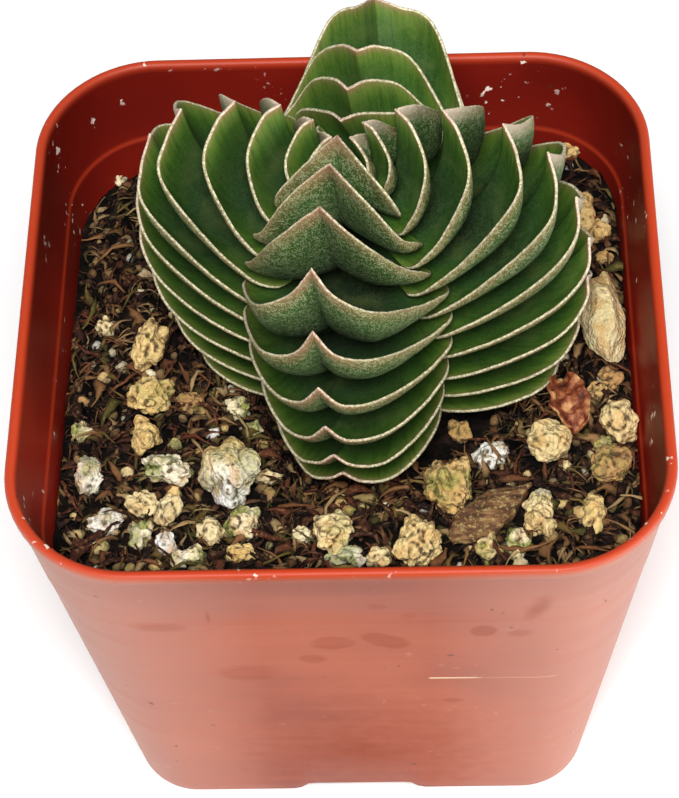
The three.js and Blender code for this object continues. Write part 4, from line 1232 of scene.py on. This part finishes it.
# Painted shade: the inner face darkens towards the stem over its own green
towards_line = add(tree, "ShaderNodeMapRange", {"Value": edge, "From Min": -14.0, "From Max": 0.0})
inner = add(tree, "ShaderNodeValToRGB", {"Fac": towards_line}, stops=[
    (0.0, "#0d2406"), (0.45, "#224a10"), (0.8, "#3f641c"), (0.93, "#627c2c"), (1.0, "#8a8a4e")])
vein = add(tree, "ShaderNodeMapRange", {"Value": veins, "From Min": 0.42, "From Max": 0.68, "To Max": 0.5})
veined = add(tree, "ShaderNodeMix", {0: vein, 6: inner, 7: "#16340c"}, data_type="RGBA")
fleck = add(tree, "ShaderNodeMapRange", {"Value": mottle, "From Min": 0.5, "From Max": 0.75, "To Max": 0.4})
mottled = add(tree, "ShaderNodeMix", {0: fleck, 6: veined, 7: "#6c7c3c"}, data_type="RGBA")
dots = add(tree, "ShaderNodeMath", {0: papilla, 1: 0.1}, operation="MULTIPLY")
dotted = add(tree, "ShaderNodeMix", {0: dots, 6: mottled, 7: "#a9bd84"}, data_type="RGBA")
from_line = add(tree, "ShaderNodeMapRange", {"Value": edge, "From Min": 0.0, "From Max": 10.0})
# Painted shade: the outer face darkens away from the margin, under the leaf above
outer_green_and_shade = add(tree, "ShaderNodeValToRGB", {"Fac": from_line}, stops=[
    (0.0, "#70603a"), (0.1, "#4c5220"), (0.26, "#28460f"), (1.0, "#122e08")])
near_edge = add(tree, "ShaderNodeMapRange", {"Value": edge, "From Min": 5.0, "From Max": 0.6})
crowding = add(tree, "ShaderNodeMath", {0: mottle, 1: near_edge}, operation="ADD")
frost_amount = add(tree, "ShaderNodeMapRange", {
    "Value": crowding, "From Min": 0.5, "From Max": 1.5, "To Min": 0.28, "To Max": 0.85})
frost = add(tree, "ShaderNodeMath", {0: papilla, 1: frost_amount}, operation="MULTIPLY")
outer = add(tree, "ShaderNodeMix", {0: frost, 6: outer_green_and_shade, 7: "#b2ba8a"}, data_type="RGBA")
# Painted shade: the inner face darkens deep down, more on some ranks and on the old lower leaves
deep = add(tree, "ShaderNodeMapRange", {"Value": edge, "From Min": -0.6, "From Max": -5.0, "To Max": 0.92})
inner_shade_amount = add(tree, "ShaderNodeMath", {0: dim, 1: deep}, operation="MULTIPLY")
inner_shaded = add(tree, "ShaderNodeMix", {0: inner_shade_amount, 6: dotted, 7: "#091805"}, data_type="RGBA")
on_outside = add(tree, "ShaderNodeMapRange", {"Value": edge, "From Min": 0.0, "From Max": 0.12})
both_faces = add(tree, "ShaderNodeMix", {0: on_outside, 6: inner_shaded, 7: outer}, data_type="RGBA")
blush_in = add(tree, "ShaderNodeMapRange", {"Value": edge, "From Min": -1.2, "From Max": -0.1, "To Max": 0.7})
blush_out = add(tree, "ShaderNodeMapRange", {"Value": edge, "From Min": 2.4, "From Max": 0.35})
blush_band = add(tree, "ShaderNodeMath", {0: blush_in, 1: blush_out}, operation="MULTIPLY")
blush_along = add(tree, "ShaderNodeMapRange", {"Value": tip, "To Min": 0.22})
blush = add(tree, "ShaderNodeMath", {0: blush_band, 1: blush_along}, operation="MULTIPLY")
blushed = add(tree, "ShaderNodeMix", {0: blush, 6: both_faces, 7: "#8c5a46"}, data_type="RGBA")
# Paler tips on the outside: frost, paled further by painted glare on the side and back ranks
pale_band = add(tree, "ShaderNodeMapRange", {"Value": edge, "From Min": 2.8, "From Max": 0.4})
pale_tip = add(tree, "ShaderNodeMath", {0: pale, 1: pale_band}, operation="MULTIPLY")
pale_outside = add(tree, "ShaderNodeMath", {0: pale_tip, 1: on_outside}, operation="MULTIPLY")
tipped = add(tree, "ShaderNodeMix", {0: pale_outside, 6: blushed, 7: "#c6bfac"}, data_type="RGBA")
bead = add(tree, "ShaderNodeTexNoise", {"Vector": place, "Scale": per_metre(0.3125), "Detail": 3.0})
beaded = add(tree, "ShaderNodeMapRange", {"Value": bead, "From Min": 0.4, "From Max": 0.6, "To Min": 0.3})
line_in = add(tree, "ShaderNodeMapRange", {"Value": edge, "From Min": -0.13, "From Max": -0.03})
line_out = add(tree, "ShaderNodeMapRange", {"Value": edge, "From Min": 0.32, "From Max": 0.14})
line_band = add(tree, "ShaderNodeMath", {0: line_in, 1: line_out}, operation="MULTIPLY")
line = add(tree, "ShaderNodeMath", {0: line_band, 1: beaded}, operation="MULTIPLY")
line_colour = add(tree, "ShaderNodeMix", {0: tip, 6: "#e2dbb8", 7: "#e0c4b0"}, data_type="RGBA")
lined = add(tree, "ShaderNodeMix", {0: line, 6: tipped, 7: line_colour}, data_type="RGBA")
tree.links.new(lined, shader.inputs["Base Color"])
dull = add(tree, "ShaderNodeMapRange", {
    "Value": edge, "From Min": -2.0, "From Max": -8.0, "To Min": 0.42, "To Max": 0.8})
dullness = add(tree, "ShaderNodeMix", {0: on_outside, 2: dull, 3: 0.75})
tree.links.new(dullness, shader.inputs["Roughness"])
bead_height = add(tree, "ShaderNodeMapRange", {"Value": on_outside, "To Min": 0.12, "To Max": 1.0})
beads = add(tree, "ShaderNodeMath", {0: papilla, 1: bead_height}, operation="MULTIPLY")
relief = add(tree, "ShaderNodeBump", {"Height": beads, "Strength": 0.8, "Distance": 0.1 * mm})
tree.links.new(relief, shader.inputs["Normal"])

columns = 97
inner_lengths = [1 - (1 - k / 17) ** 1.35 for k in range(18)]
outer_lengths = [1 - (1 - k / 13) ** 1.2 for k in range(14)]
edge_steps = 4
nudge = 0.01
tip_reach = 0.42
wave_per_width = 0.015
crust_height = 0.09
edge_bulge = 0.3
edge_crowding = 1.12
waves_across = 5.5
crusts_across = 60
curl_power = 6


def leaf_mesh(stages, row, drift, rank_turn, seed, shade, frost_and_glare):
    """Points, faces and the attributes of one leaf, in the plant's own place"""
    margin, knee, half = leaf_rule(stages, row)
    put = place_plant @ Matrix.Rotation(math.radians(rank_turn), 4, "Z")
    points, marks = [], {"edge": [], "tip": [], "across": [], "dim": [], "pale": []}
    for i in range(columns):
        share = 2 * i / (columns - 1) - 1
        share = math.copysign(abs(share) ** edge_crowding, share) if share else 0.0
        near_tip = max(1 - abs(share) / tip_reach, 0)
        wave = wave_per_width * half * noise.noise(Vector((share * waves_across, seed * 1.7, 0.3)))
        crust = crust_height * noise.noise(Vector((share * crusts_across, seed * 2.3, 1.1)))

        def face_point(length):
            bend = Vector((0, 0, (wave + crust) * length ** curl_power))
            return upper_point(margin, knee, drift, share, length) + bend

        def below(length):
            side = math.copysign(1, share) if share else 1
            inward = upper_point(margin, knee, drift, share - nudge * side, length)
            here = upper_point(margin, knee, drift, share, length)
            aside = (here - inward) * side if share else Vector((0, 1, 0))
            back = upper_point(margin, knee, drift, share, max(length - nudge, 0))
            front = upper_point(margin, knee, drift, share, min(length + nudge, 1))
            return aside.cross(front - back).normalized()

        line_points = []
        brink = face_point(1.0)
        for length in inner_lengths:
            point = face_point(length)
            line_points.append((point, -(point - brink).length))
        under = below(1.0)
        thick = leaf_thickness(half, share, 1.0)
        outward = (face_point(1.0) - face_point(0.97)).normalized()
        for k in range(1, edge_steps):
            angle = math.pi * k / edge_steps
            bulge = outward * (edge_bulge * thick * math.sin(angle))
            down = under * (thick * (1 - math.cos(angle)) / 2)
            line_points.append((brink + down + bulge, thick * k / edge_steps))
        lowest = brink + under * thick
        for length in reversed(outer_lengths):
            point = face_point(length) + below(length) * leaf_thickness(half, share, length)
            line_points.append((point, thick + (point - lowest).length))
        rows = len(line_points)
        for point, distance in line_points:
            points.append(put @ point)
            marks["edge"].append(distance)
            marks["tip"].append(near_tip)
            marks["across"].append(share * half + seed * 50)
            # painted shade on the inner face, deeper on the old lower leaves
            marks["dim"].append(shade * (1 + smooth_step(row, 7, 10)))
            # frost with painted glare towards the tip
            marks["pale"].append(frost_and_glare * near_tip ** 0.7)
    faces = []
    for i in range(columns - 1):
        for j in range(rows):
            a, b = i * rows + j, i * rows + (j + 1) % rows
            faces.append((a, a + rows, b + rows, b))
    faces.append(tuple(range(rows)))
    faces.append(tuple(reversed(range((columns - 1) * rows, columns * rows))))
    return points, faces, marks


# Turn of each rank, its stages and number of leaves, the rows over which its drift fades, how much painted
# shade darkens its inner faces towards the stem, and how much its tips are frosted and paled by painted glare
ranks = {
    "right": (0, side_stages, 11, (1, 2.5), 0.15, 0.6),
    "back": (90, front_stages, 9, (3.5, 4.5), 0.15, 0.3),
    "left": (180, side_stages, 11, (3.5, 6.5), 0.5, 0.6),
    "front": (-90, front_stages, 9, (3.5, 4.5), 0.35, 0.0),
}
seed = 0
for rank, (rank_turn, stages, leaves, settling, shade, frost_and_glare) in ranks.items():
    for leaf_index in range(leaves):
        seed += 1
        row = stages[0][0] + leaf_index
        strength = young_drift * (1 - smooth_step(row, *settling))
        angle = math.radians(rank_turn)
        drift = Vector((-strength * math.cos(angle), strength * math.sin(angle), 0))
        points, faces, marks = leaf_mesh(stages, row, drift, rank_turn, seed, shade, frost_and_glare)
        leaf = new_piece("%s_leaf_%02d" % (rank, leaf_index + 1), points, faces, leaf_skin)
        for attribute, values in marks.items():
            set_value(leaf, attribute, values)
        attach(leaf, "root")
        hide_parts("leaf_%s_%02d" % (rank, leaf_index + 1))


# Bud
# The next pair of leaves, still closed, at the very top of the stem.
bud_radius = 0.6
bud_height = 3.4
bud_point = 0.06
bud_steps = 12
rings = []
for k in range(bud_steps + 1):
    share = k / bud_steps
    swell = math.sin(math.pi * (0.5 + share / 2)) ** 0.6 if share < 1 else 0
    height = stem_top + touch_gap + share * (bud_height - touch_gap)
    rings.append(plant_ring(max(bud_radius * swell, bud_point), height))
bud = new_piece("closed_bud", *loft(rings), leaf_skin)
for attribute, value in (("edge", 3.0), ("tip", 0.0), ("across", 0.0), ("dim", 0.0), ("pale", 0.0)):
    set_value(bud, attribute, [value] * len(bud.data.vertices))
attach(bud, "root")
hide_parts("bud")
